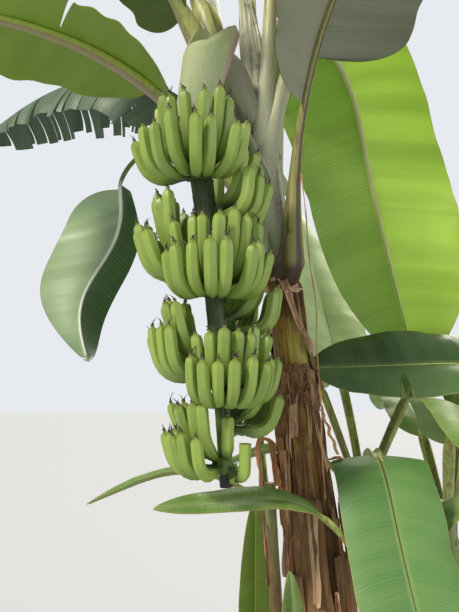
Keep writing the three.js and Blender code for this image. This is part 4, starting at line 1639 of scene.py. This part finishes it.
@dataclass(frozen=True)
class LastFinger:
    """The single finger and the stubs that are left of the last hand."""

    height: float = 1.118
    compass: float = -46.0
    length: float = 0.125
    radius: float = 0.0175
    lone_height: float = 1.165
    lone_compass: float = -84.0
    lone_length: float = 0.126

    def dress(self, stalk: FruitStalk, model: FingerModel, finishes: Finishes) -> bpy.types.Object:
        """Builds the finger, its cushion and a few cut stubs, and joins them."""
        middle, girth = stalk.at_height(self.height)
        hand = Hand(10, self.height, self.compass, 26, 1.0, cushion_thickness=0.013)
        base = middle + level(self.compass) * (girth + 0.011)
        line = BentLine(base, self.compass, -30, -118, (0.0, 0.5), self.length)
        random = Seeded(5)
        parts = [hand.cushion(stalk), model.copy_finger("last_finger", line, self.radius, 20, 0.1, cut=True)]
        lone_middle, lone_girth = stalk.at_height(self.lone_height)
        lone_base = lone_middle + level(self.lone_compass) * (lone_girth + 0.004)
        lone = BentLine(lone_base, self.lone_compass, 22, -66, (0.0, 0.4), self.lone_length)
        parts.append(model.copy_finger("lone_finger", lone, self.radius * 1.15, 50, 0.2))
        parts.append(model.copy_wisp("lone_finger_end", lone, random, 0.004))
        stubs = ((-56, 0.012, 0.03), (14, 0.004, 0.036), (30, -0.012, 0.028), (52, -0.02, 0.024))
        for turn, drop, long in stubs:
            root = middle + level(turn) * (girth + 0.002) - np.array([0, 0, drop])
            stub = BentLine(root, turn, -14, -30, (0.1, 0.9), long)
            parts.append(model.copy_finger("stub", stub, 0.009, turn, 0.7))
            parts.append(model.copy_wisp("stub_end", stub, random, 0.004))
        return deliver_fruit("last_fingers", "hand_10_last_finger", parts, finishes)


@dataclass(frozen=True)
class Bract:
    """The pale bract round the stalk: a thin half pipe, cut slantwise at its top."""

    low: float = 2.13
    radius: float = 0.053
    flare: float = 0.018
    thickness: float = 0.004
    half_turn: float = 136.0
    facing: float = -146.0
    slant: float = 0.2
    crest: tuple[tuple[float, float], ...] = (
        (-1.0, 2.385), (-0.92, 2.412), (-0.75, 2.393), (-0.59, 2.366), (-0.415, 2.338), (0.118, 2.334),
        (0.24, 2.35), (0.36, 2.395), (0.5, 2.44), (0.67, 2.458), (0.84, 2.44), (1.0, 2.41),
    )

    def build(self, stalk: FruitStalk) -> bpy.types.Object:
        """A grid rolled round the stalk, its free edge curled out, given its thickness."""
        piece = Bench.sheet("bract_sheet", 72, 40)
        flat = Bench.corners(piece)
        across, up = flat[:, 0], (flat[:, 1] + 1) / 2
        places, heights = zip(*self.crest)
        crest = np.interp(across, places, heights)
        height = mix(self.low - 0.012 * np.cos(across * 9), crest, up)
        turn = self.facing - across * self.half_turn
        centre = stalk.arch_at(self.low)
        pleats = 0.002 * np.sin(across * 5 + up * 2)
        lip = 0.004 * smooth(0.9, 1.0, up) * smooth(0.6, 0.2, across)
        out = self.radius + self.flare * up**1.2 + pleats + 0.016 * smooth(0.88, 1.0, -across) * up - lip
        spots = centre + level(turn) * out[:, None]
        spots[:, 0] += (height - self.low) * self.slant
        spots[:, 2] = height
        Bench.move(piece, spots)
        Bench.mark(piece, "rim", np.maximum(smooth(0.9, 0.97, -across), 0.45 * smooth(0.975, 1.0, up)))
        Bench.mark(piece, "sheathed", np.zeros(len(across)))
        Bench.modify(piece, "SOLIDIFY", thickness=self.thickness, offset=0)
        Bench.outwards(piece)
        return piece

    def dress(self, stalk: FruitStalk, finishes: Finishes) -> bpy.types.Object:
        """Builds the bract and gives it its finish."""
        piece = self.build(stalk)
        Bench.wear(piece, finishes.bract)
        Bench.shade(piece)
        return Bench.deliver(piece, "bract", "bract")


@dataclass(frozen=True)
class DryStalk:
    """A dead, folded strip that hangs from the main stem."""

    name: str
    stem: Stem
    height: float
    compass: float
    rise: float
    droop: float
    bend: tuple[float, float]
    length: float
    radius: float

    def dress(self, finishes: Finishes) -> bpy.types.Object:
        """A column crushed flat along its line, twisted and frayed."""
        base = self.stem.seat(self.height, self.compass, self.rise, self.radius)
        line = BentLine(base, self.compass, self.rise, self.droop, self.bend, self.length)
        piece = Bench.column(self.name + "_strip", 12, (9, 7))
        up, turn, hollow = Bench.rings(piece)
        share = mix(-0.05, 1, up)
        spots, _, side, face = line.at(share)
        spots = spots + np.where(share < 0, share * self.length, 0)[:, None] * level(self.compass)
        twist = np.radians(20 * share + 12 * np.sin(share * 14))
        frayed = 1 + 0.18 * np.sin(share * 40) + 0.12 * np.sin(share * 97)
        wide = self.radius * mix(1.1, 0.45, share) * frayed * hollow
        folded = 0.5 * np.abs(np.cos(turn)) * wide
        x, y = np.cos(turn) * wide * 1.25, np.sin(turn) * wide * 0.26 + folded
        spots = spots + side * (x * np.cos(twist) - y * np.sin(twist))[:, None]
        spots = spots + face * (x * np.sin(twist) + y * np.cos(twist))[:, None]
        Bench.move(piece, spots)
        Bench.outwards(piece)
        Bench.wear(piece, finishes.straw)
        Bench.shade(piece)
        return Bench.deliver(piece, "dry_stalk", self.name)


class Dryness(Enum):
    """Which dead finish a flap has, by its place in the piece's slots."""

    BROWN = 0
    PALE = 1
    ORANGE = 2


@dataclass(frozen=True)
class Flap:
    """A dead sheath that has come loose: a ragged strip round part of the stem, lifting at its ends."""

    low: float
    high: float
    compass: float
    half_turn: float
    lift_top: float
    lift_low: float
    ragged: float
    taper: float
    seed: int
    slant: float = 0.0
    dryness: Dryness = Dryness.BROWN
    off: float = 0.004
    thickness: float = 0.0016

    def build(self, stem: Stem) -> bpy.types.Object:
        """A grid laid over the stem's skin, with frayed ends, a wavy lift and crumpled folds."""
        wide = self.half_turn > 20
        piece = Bench.sheet(f"flap_{self.seed}", 26 if wide else 8, 44)
        flat = Bench.corners(piece)
        across, up = flat[:, 0], (flat[:, 1] + 1) / 2
        fray_points = np.stack([across * 3, np.full(len(across), self.seed * 3.1), np.zeros(len(across))], -1)
        fray = rough(fray_points, (1.3, 1, 1), self.seed)
        fray = fray + 0.35 * rough(fray_points, (5, 1, 1), self.seed + 5)
        rounding = 0.12 * self.taper * (self.high - self.low) * np.abs(across) ** 1.5
        low = self.low + self.ragged * fray + rounding
        high = self.high + self.ragged * 0.5 * rough(fray_points, (2, 1, 1), self.seed + 9)
        height = mix(low, high, up)
        narrowing = mix(1 - self.taper, 1, up)
        wander = 3 * rough(np.stack([up * 3, np.full(len(up), self.seed), up * 0], -1), (1, 1, 1), 1.0)
        turn = self.compass + self.slant * (up - 1) + across * self.half_turn * narrowing + wander
        free = self.lift_top * smooth(0.6, 1, up) + self.lift_low * smooth(0.5, 0, up)
        edges = 0.3 * np.abs(across) ** 3 * (self.lift_top + self.lift_low)
        folds = rough(np.stack([across * 2, up * 4, np.full(len(up), self.seed)], -1), (2, 1.5, 1), 2.0)
        lifted = free * (0.6 + 0.4 * across**2) + edges + (0.003 + 0.3 * free) * folds
        out = stem.girth(height) + self.off + lifted
        Bench.move(piece, stem.middle(height) + level(turn) * out[:, None])
        Bench.modify(piece, "SOLIDIFY", thickness=self.thickness, offset=0)
        return piece


@dataclass(frozen=True)
class PeelingSheaths:
    """The loose dead sheaths of the main stem: set sheets, and many thin strips dealt out round it."""

    flaps: tuple[Flap, ...]
    strips: int = 44

    def loose_strips(self) -> list[Flap]:
        """Thin strips of seeded size and place."""
        random = Seeded(71)
        made = []
        for index in range(self.strips):
            high = random.between(0.4, 1.42)
            length = random.between(0.14, 0.4)
            made.append(Flap(
                max(0.04, high - length), high, random.between(-180, 180), random.between(2.5, 8),
                random.between(0, 0.008), random.between(0.002, 0.02), 0.01, random.between(0.2, 0.8),
                40 + index, random.between(-14, 14), Dryness(int(random() * 2.99)),
            ))
        return made

    def dress(self, stem: Stem, finishes: Finishes) -> bpy.types.Object:
        """Builds every flap and joins them."""
        made = []
        for flap in [*self.flaps, *self.loose_strips()]:
            sheet = flap.build(stem)
            Bench.wear(sheet, finishes.flap, finishes.pale_flap, finishes.straw)
            Bench.use_slot(sheet, flap.dryness.value)
            made.append(sheet)
        piece = Bench.join("peeling_sheaths", made)
        Bench.outwards(piece)
        Bench.shade(piece)
        return Bench.deliver(piece, "old_sheath")


@dataclass(frozen=True)
class Thread:
    """A dry fibre strip that hangs from a leaf stalk down to the stem's side."""

    name: str
    points: tuple[tuple[float, float, float], ...]
    radius: float
    knots: float = 0.3

    def dress(self, finishes: Finishes) -> bpy.types.Object:
        """A thin column laid along the points."""
        piece = Bench.column(self.name, 6, (9, 7))
        flat = Bench.corners(piece)
        share = (1 - flat[:, 2]) / 2
        given = np.array(self.points)
        spots = follow(share, np.linspace(0, 1, len(given)), given)
        wobble = 0.004 * np.sin(share * 19) * np.sin(share * np.pi)
        wide = self.radius * (1 + self.knots * np.sin(share * 57))
        spots[:, 0] += flat[:, 0] * wide + wobble
        spots[:, 1] += flat[:, 1] * wide * 0.5
        Bench.move(piece, spots)
        Bench.outwards(piece)
        Bench.wear(piece, finishes.thread)
        Bench.shade(piece, THREAD_ANGLE)
        return Bench.deliver(piece, "dry_stalk")


@dataclass(frozen=True)
class Studio:
    """The pale floor, the soft lights and the camera at the photograph's viewing angle."""

    camera_place: tuple[float, float, float] = (-0.37, -1.9, 1.35)
    pitch: float = 8.0
    lens: float = 34.0

    def floor(self) -> None:
        """A wide pale floor under the plant."""
        Bench.clear()
        bpy.ops.mesh.primitive_plane_add(size=60, location=(0, 0, -0.002))
        piece = Bench.named("floor")
        bpy.ops.object.transform_apply(location=True, rotation=True, scale=True)
        pale = Paintwork("floor_pale")
        pale.shader.inputs["Base Color"].default_value = paint(176, 180, 186)
        pale.roughness(0.9)
        Bench.wear(piece, pale.material)

    def light(
        self, name: str, kind: str, place: Sequence[float], aim: Sequence[float], power: float, tint: Colour,
    ) -> bpy.types.Light:
        """One light.

        Args:
            name: The light's name.
            kind: AREA for a soft square light, or SUN for an even one from far away.
            place: Where it stands.
            aim: What it points at.
            power: Its strength, in watts for a square light.
            tint: Its colour.

        Returns:
            The light's own settings.
        """
        data = bpy.data.lights.new(name, kind)
        data.energy, data.color = power, tint[:3]
        lamp = bpy.data.objects.new(name, data)
        bpy.context.scene.collection.objects.link(lamp)
        lamp.location = place
        lamp.rotation_euler = (Vector(aim) - Vector(place)).to_track_quat("-Z", "Y").to_euler()
        return data

    def camera(self) -> None:
        """The camera, tilted up as the photograph was taken."""
        data = bpy.data.cameras.new("camera")
        data.lens, data.sensor_width, data.sensor_fit = self.lens, 36.0, "AUTO"
        data.clip_start, data.clip_end = 0.05, 100
        made = bpy.data.objects.new("camera", data)
        bpy.context.scene.collection.objects.link(made)
        made.location = self.camera_place
        made.rotation_euler = (math.radians(90 + self.pitch), 0, 0)
        bpy.context.scene.camera = made

    def build(self) -> None:
        """Sets up the whole studio."""
        self.floor()
        world = bpy.data.worlds.new("studio")
        world.use_nodes = True
        world.node_tree.nodes.clear()
        t = Tree(world.node_tree)
        sky = paint(236, 240, 244)
        lighting = t.add("Background", {"Color": sky, "Strength": 0.5}).outputs[0]
        seen = t.add("Background", {"Color": sky, "Strength": 0.95}).outputs[0]
        direct = t.add("LightPath").outputs["Is Camera Ray"]
        both = t.add("MixShader", {0: direct, 1: lighting, 2: seen}).outputs[0]
        t.link(both, t.add("OutputWorld"), "Surface")
        bpy.context.scene.world = world
        white, warm = paint(255, 255, 255), paint(255, 246, 230)
        self.light("key", "SUN", (-4.6, -3.6, 4.4), (0, 0, 0), 3.4, warm).angle = math.radians(12)
        self.light("back", "SUN", (2.2, 4.8, 4.6), (0, 0, 0), 3.0, warm).angle = math.radians(30)
        self.light("fill", "AREA", (4.6, -3.4, 2.4), (0.1, 0, 1.5), 90, white).size = 3.5
        self.camera()
        bpy.context.scene.view_settings.view_transform = "Standard"


# Each stem's name, foot, lean, height, radius at the foot and at the throat, the heights between which it
# narrows, its swelling, and how high that reaches, as in the frame
MAIN = MainStem(
    "main", (0, 0), (-0.12, -0.045), 2.44, 0.088, 0.045, (0.7, 1.9), 0.036, 0.15,
    sides=96, cuts=(13, 17), lap=0.006, grain=0.0016, throat=0.2,
)
FOLLOWERS = {
    stem.name: stem for stem in (
        Stem("follower_1", (0.205, 0.29), (-0.1, -0.083), 1.09, 0.052, 0.03, (0.15, 1.0), 0.022, 0.09),
        Stem("follower_2", (0.48, 0.28), (-0.1, -0.083), 0.957, 0.046, 0.029, (0.15, 0.88), 0.02, 0.08),
        Stem("follower_3", (0.82, 0.07), (-0.08, -0.03), 1.06, 0.05, 0.03, (0.15, 0.9), 0.022, 0.09),
        Stem("follower_4", (-0.19, 0.31), (-0.035, -0.065), 1.01, 0.036, 0.02, (0.1, 0.95), 0.016, 0.07,
             dead=0.7),
        Stem("follower_5", (0.12, -0.16), (-0.07, -0.06), 0.79, 0.03, 0.018, (0.08, 0.65), 0.014, 0.06,
             dead=0.62),
        Stem("sword_sucker", (-0.12, -0.255), (-0.05, 0.03), 0.3, 0.026, 0.015, (0.04, 0.28), 0.012, 0.05),
    )
}
# The finer grid of the main stem's blades
BIG = {"across": 28, "along": 120}


def leaf_rows() -> list[Leaf]:
    """Every leaf, in the frame's order, which sets its seed.

    Each row gives the name, stem, height, compass, rise, droop, bend, the lengths of petiole and blade,
    the blade's width, the petiole's radius, the fold, and then swing, roll, tears, whether the solid is
    parted, and the look.

    Returns:
        The leaves.
    """
    f1, f2, f3 = FOLLOWERS["follower_1"], FOLLOWERS["follower_2"], FOLLOWERS["follower_3"]
    f4, f5, sword = FOLLOWERS["follower_4"], FOLLOWERS["follower_5"], FOLLOWERS["sword_sucker"]
    rows = [
        Leaf("leaf_overhead", MAIN, 1.735, -66, 86, 104, (0, 0.9), 0.49, 1.65, 0.56, 0.019, -16, 14, -14, 2,
             True, Look.OVERHEAD, starts=(0.0, 0.085), heel=(0.32, 0.08), own_slits=((0.45, -1), (0.7, 1)),
             gap=2.2, sheath=0.07, flare=1.2, spread=0.3, stout=0.78, **BIG),
        Leaf("leaf_right", MAIN, 2.09, 62, 85, 165, (0.12, 0.56), 0.56, 1.62, 0.66, 0.021, -6, -40, 54, 0,
             True, Look.SUNLIT, shares=(0.97, 0.82), tip_from=(0.5, 0.65), sway=0.5,
             drift=(-0.015, -0.095, 0.0), stout=1.1, **BIG),
        Leaf("leaf_left_front", MAIN, 1.915, 172, 62, 80, (0, 0.75), 0.45, 1.4, 0.52, 0.022, -10, 74, 0, 2,
             True, Look.BROAD, starts=(0.07, 0.0), heel=(0.3, 0.15), sheath=0.14, spread=0.5, stout=1.8,
             **BIG),
        Leaf("leaf_left_back", MAIN, 2.07, 138, 52, 70, (0, 1), 0.42, 1.55, 0.48, 0.02, -58, 10, 0, 9, True,
             Look.SHREDDED, extra_tears=26, slump=9, gap=0.35, drift=(0.0, 0.0, 0.03), **BIG),
        Leaf("leaf_left", MAIN, 1.83, 145, 53, 135, (0.23, 0.59), 0.746, 0.64, 0.33, 0.018, 42, 72, -91, 1,
             True, Look.WAXY, shares=(1.0, 1.25), own_slits=((0.985, 1),), stout=0.45, starts=(-0.03, 0.03),
             heel=(0.05, 0.35), tip_from=(0.42, 0.3), sway=1.0, curl=0.04, drift=(0.02, 0.0, 0.0),
             ripple=0.004, sheath=0.12, **BIG),
        Leaf("leaf_left_high", MAIN, 2.03, 198, 70, 84, (0.1, 1), 0.56, 1.55, 0.54, 0.024, -10, 0, 0, 2, True,
             Look.HIGH, stout=1.6, **BIG),
        Leaf("leaf_back_high", MAIN, 2.385, 96, 86, 100, (0.2, 1), 0.42, 1.5, 0.52, 0.02, -8, 0, 0, 2, True,
             Look.HIGH, **BIG),
        Leaf("leaf_back", MAIN, 2.27, 146, 72, 105, (0.3, 1), 0.5, 1.6, 0.54, 0.028, -12, 0, 0, 3, True,
             Look.HIGH, stout=1.8, **BIG),
        Leaf("leaf_front_high", MAIN, 2.35, -62, 84, 96, (0.2, 1), 0.4, 1.4, 0.5, 0.02, -10, 0, 0, 2, True,
             Look.HIGH, **BIG),
        Leaf("leaf_right_high", MAIN, 2.23, -44, 70, 110, (0.2, 1), 0.42, 1.55, 0.54, 0.02, -10, 0, 0, 2,
             True, Look.HIGH, **BIG),
        Leaf("follower_1_leaf_right", f1, 1.04, 34, 54, 60, (0.2, 1), 0.33, 0.76, 0.24, 0.014, 10),
        Leaf("follower_1_leaf_high", f1, 1.08, 92, 59, 0, (0.3, 1), 0.36, 0.98, 0.2, 0.012, 6, 30, -30,
             look=Look.UPRIGHT, shares=(2.1, 2.0), drift=(0.0, -0.09, 0.12)),
        Leaf("follower_1_leaf_left", f1, 1.07, 138, 68, 16, (0.3, 1), 0.3, 0.4, 0.12, 0.011, 10, 0, -30,
             look=Look.UPRIGHT, shares=(1.9, 2.2), drift=(0.0, -0.06, 0.0)),
        Leaf("follower_1_leaf_low", f1, 1.01, 184, 46, 62, (0, 0.8), 0.15, 0.36, 0.12, 0.01, 20),
        Leaf("follower_1_leaf_front", f1, 1.03, -96, 50, 108, (0, 0.4), 0.27, 0.96, 0.29, 0.015, -4, 22,
             look=Look.PALE, heel=(0.035, 0.03)),
        Leaf("follower_2_leaf_high", f2, 0.95, 36, 76, 66, (0.1, 1), 0.33, 0.56, 0.2, 0.014, 20),
        Leaf("follower_2_leaf_right", f2, 0.9, -104, 66, 100, (0.1, 1), 0.3, 0.64, 0.21, 0.014, 10),
        Leaf("follower_2_leaf_back", f2, 0.925, 88, 52, 75, (0.1, 1), 0.3, 0.8, 0.24, 0.014, 10),
        Leaf("follower_3_leaf_left", f3, 1.03, 178, 78, 80, (0.12, 0.6), 0.4, 0.65, 0.29, 0.014, 4, 0, 54, 1,
             look=Look.DARK, own_slits=((0.52, 1),), gap=3.0),
        Leaf("follower_3_leaf_front", f3, 0.98, -70, 64, 100, (0.1, 1), 0.3, 0.8, 0.26, 0.014, 8),
        Leaf("follower_3_leaf_right", f3, 1.0, 34, 66, 96, (0.1, 1), 0.3, 0.85, 0.27, 0.014, 8),
        Leaf("follower_4_leaf_left", f4, 0.95, 184, 32, 54, (0, 0.8), 0.16, 0.5, 0.13, 0.008, 14),
        Leaf("follower_4_leaf_high", f4, 0.98, 112, 76, 40, (0.2, 1), 0.24, 0.62, 0.19, 0.009, 14),
        Leaf("follower_4_leaf_hanging", f4, 0.95, -112, 62, 150, (0, 0.26), 0.15, 0.64, 0.12, 0.008, 10,
             look=Look.DEEP, heel=(0.8, 0.8)),
        Leaf("follower_5_leaf_left", f5, 0.775, 184, 66, 68, (0.05, 0.7), 0.27, 0.48, 0.11, 0.008, 6, 16, 24),
        Leaf("follower_5_leaf_right", f5, 0.735, 20, 60, 80, (0.1, 1), 0.18, 0.45, 0.13, 0.008, 12),
        Leaf("sword_leaf", sword, 0.285, 172, 84, -4, (0.2, 1), 0.13, 0.44, 0.09, 0.008, 16, 0, 60),
    ]
    for index, leaf in enumerate(rows):
        leaf.seed = index + 1
        if leaf.stem is not MAIN:
            leaf.stout, leaf.sheath = YOUNG_STOUT, YOUNG_SHEATH
    return rows


# Each hand's height, compass, spread, and how much longer its fingers are than its place would make them
HANDS = tuple(Hand(number, *place) for number, place in enumerate((
    (1.95, -104, 56, 0.96), (1.835, 16, 58, 0.9), (1.68, 168, 42, 1.09), (1.616, -83, 56, 1.0),
    (1.52, 38, 52, 1.0), (1.396, 175, 47, 1.1), (1.33, -70, 53, 1.0), (1.245, 50, 46, 1.0),
    (1.144, 192, 48, 1.04),
), start=1))
# Each dry stalk's name, stem, height, compass, rise, droop, bend, length and radius, as in the frame
DRY_STALKS = (
    DryStalk("dry_stalk_left", MAIN, 1.05, 190, 82, 176, (0.2, 0.32), 0.59, 0.016),
    DryStalk("dry_stalk_right", MAIN, 1.13, -20, 24, 114, (0, 0.2), 0.33, 0.007),
)
# Each flap's lowest and highest point, compass, half turn, lift at its top and foot, raggedness, taper, seed,
# slant and dryness
SHEATHS = PeelingSheaths((
    Flap(1.64, 1.69, -100, 58, 0.01, 0.018, 0.012, 0.2, 1, 0, Dryness.PALE),
    Flap(1.52, 1.685, -146, 10, 0.01, 0.012, 0.012, 0.5, 2, 6, Dryness.PALE),
    Flap(1.45, 1.68, -94, 10, 0.016, 0.016, 0.012, 0.5, 3, -48, Dryness.PALE),
    Flap(1.34, 1.5, -24, 20, 0.004, 0.016, 0.02, 0.4, 4, -8),
    Flap(1.3, 1.42, -120, 60, 0.014, 0.004, 0.02, 0.1, 5),
    Flap(1.28, 1.4, -20, 50, 0.012, 0.006, 0.02, 0.1, 6),
    Flap(0.9, 1.33, -150, 30, 0.006, 0.012, 0.03, 0.4, 7, 6),
    Flap(0.5, 1.02, -112, 34, 0.004, 0.014, 0.03, 0.3, 8, -8),
    Flap(0.35, 0.86, -34, 36, 0.006, 0.02, 0.03, 0.4, 9, 8),
    Flap(0.3, 0.8, -165, 40, 0.008, 0.016, 0.03, 0.4, 10),
    Flap(0.7, 1.25, 70, 46, 0.006, 0.014, 0.03, 0.4, 11),
    Flap(0.25, 0.75, 120, 46, 0.008, 0.02, 0.03, 0.3, 12, 10),
    Flap(1.2, 1.62, 130, 36, 0.006, 0.01, 0.03, 0.4, 13),
    Flap(1.3, 1.66, 40, 36, 0.006, 0.012, 0.03, 0.5, 14, 0, Dryness.PALE),
    Flap(0.12, 0.5, -70, 50, 0.008, 0.02, 0.03, 0.2, 15),
    Flap(0.72, 0.98, -96, 9, 0.004, 0.012, 0.01, 0.4, 16, 10, Dryness.PALE),
    Flap(1.655, 1.722, -82, 56, 0.013, 0.008, 0.014, 0.1, 17),
    Flap(1.2, 1.325, -112, 15, 0.002, 0.003, 0.008, 0.2, 18, 3, Dryness.PALE),
    Flap(0.98, 1.2, -152, 12, 0.006, 0.012, 0.02, 0.6, 19, 8, Dryness.ORANGE),
    Flap(0.95, 1.16, -138, 8, 0.006, 0.014, 0.02, 0.6, 20, 6, Dryness.PALE),
    Flap(1.33, 1.41, -100, 40, 0.002, 0.016, 0.03, 0.2, 21),
))
SHORT_STRIP = Thread(
    "short_strip", ((-0.092, -0.12, 1.285), (-0.07, -0.125, 1.22), (-0.045, -0.12, 1.15)),
    radius=0.0055, knots=0.05,
)
STRING = Thread(
    "hanging_thread",
    ((-0.15, -0.2, 2.0), (-0.133, -0.2, 1.8), (-0.117, -0.195, 1.61), (-0.106, -0.19, 1.42),
     (-0.103, -0.18, 1.22), (-0.094, -0.175, 1.03)),
    radius=0.002,
)


def main() -> None:
    """Builds every part of the plant in order, then the studio."""
    logging.basicConfig(level=logging.INFO, format="%(message)s")
    finishes = Finishes()
    MAIN.dress(finishes)
    for stem in FOLLOWERS.values():
        stem.dress(finishes)
    SHEATHS.dress(MAIN, finishes)
    for leaf in leaf_rows():
        leaf.dress(finishes)
    stalk = FruitStalk(MAIN)
    stalk.dress(finishes)
    model = FingerModel()
    for hand in HANDS:
        hand.dress(stalk, model, len(HANDS), finishes)
    LastFinger().dress(stalk, model, finishes)
    Bench.discard(model.finger)
    Bench.discard(model.wisp)
    Bract().dress(stalk, finishes)
    for dry in DRY_STALKS:
        dry.dress(finishes)
    STRING.dress(finishes)
    SHORT_STRIP.dress(finishes)
    Studio().build()


if __name__ == "__main__":
    main()
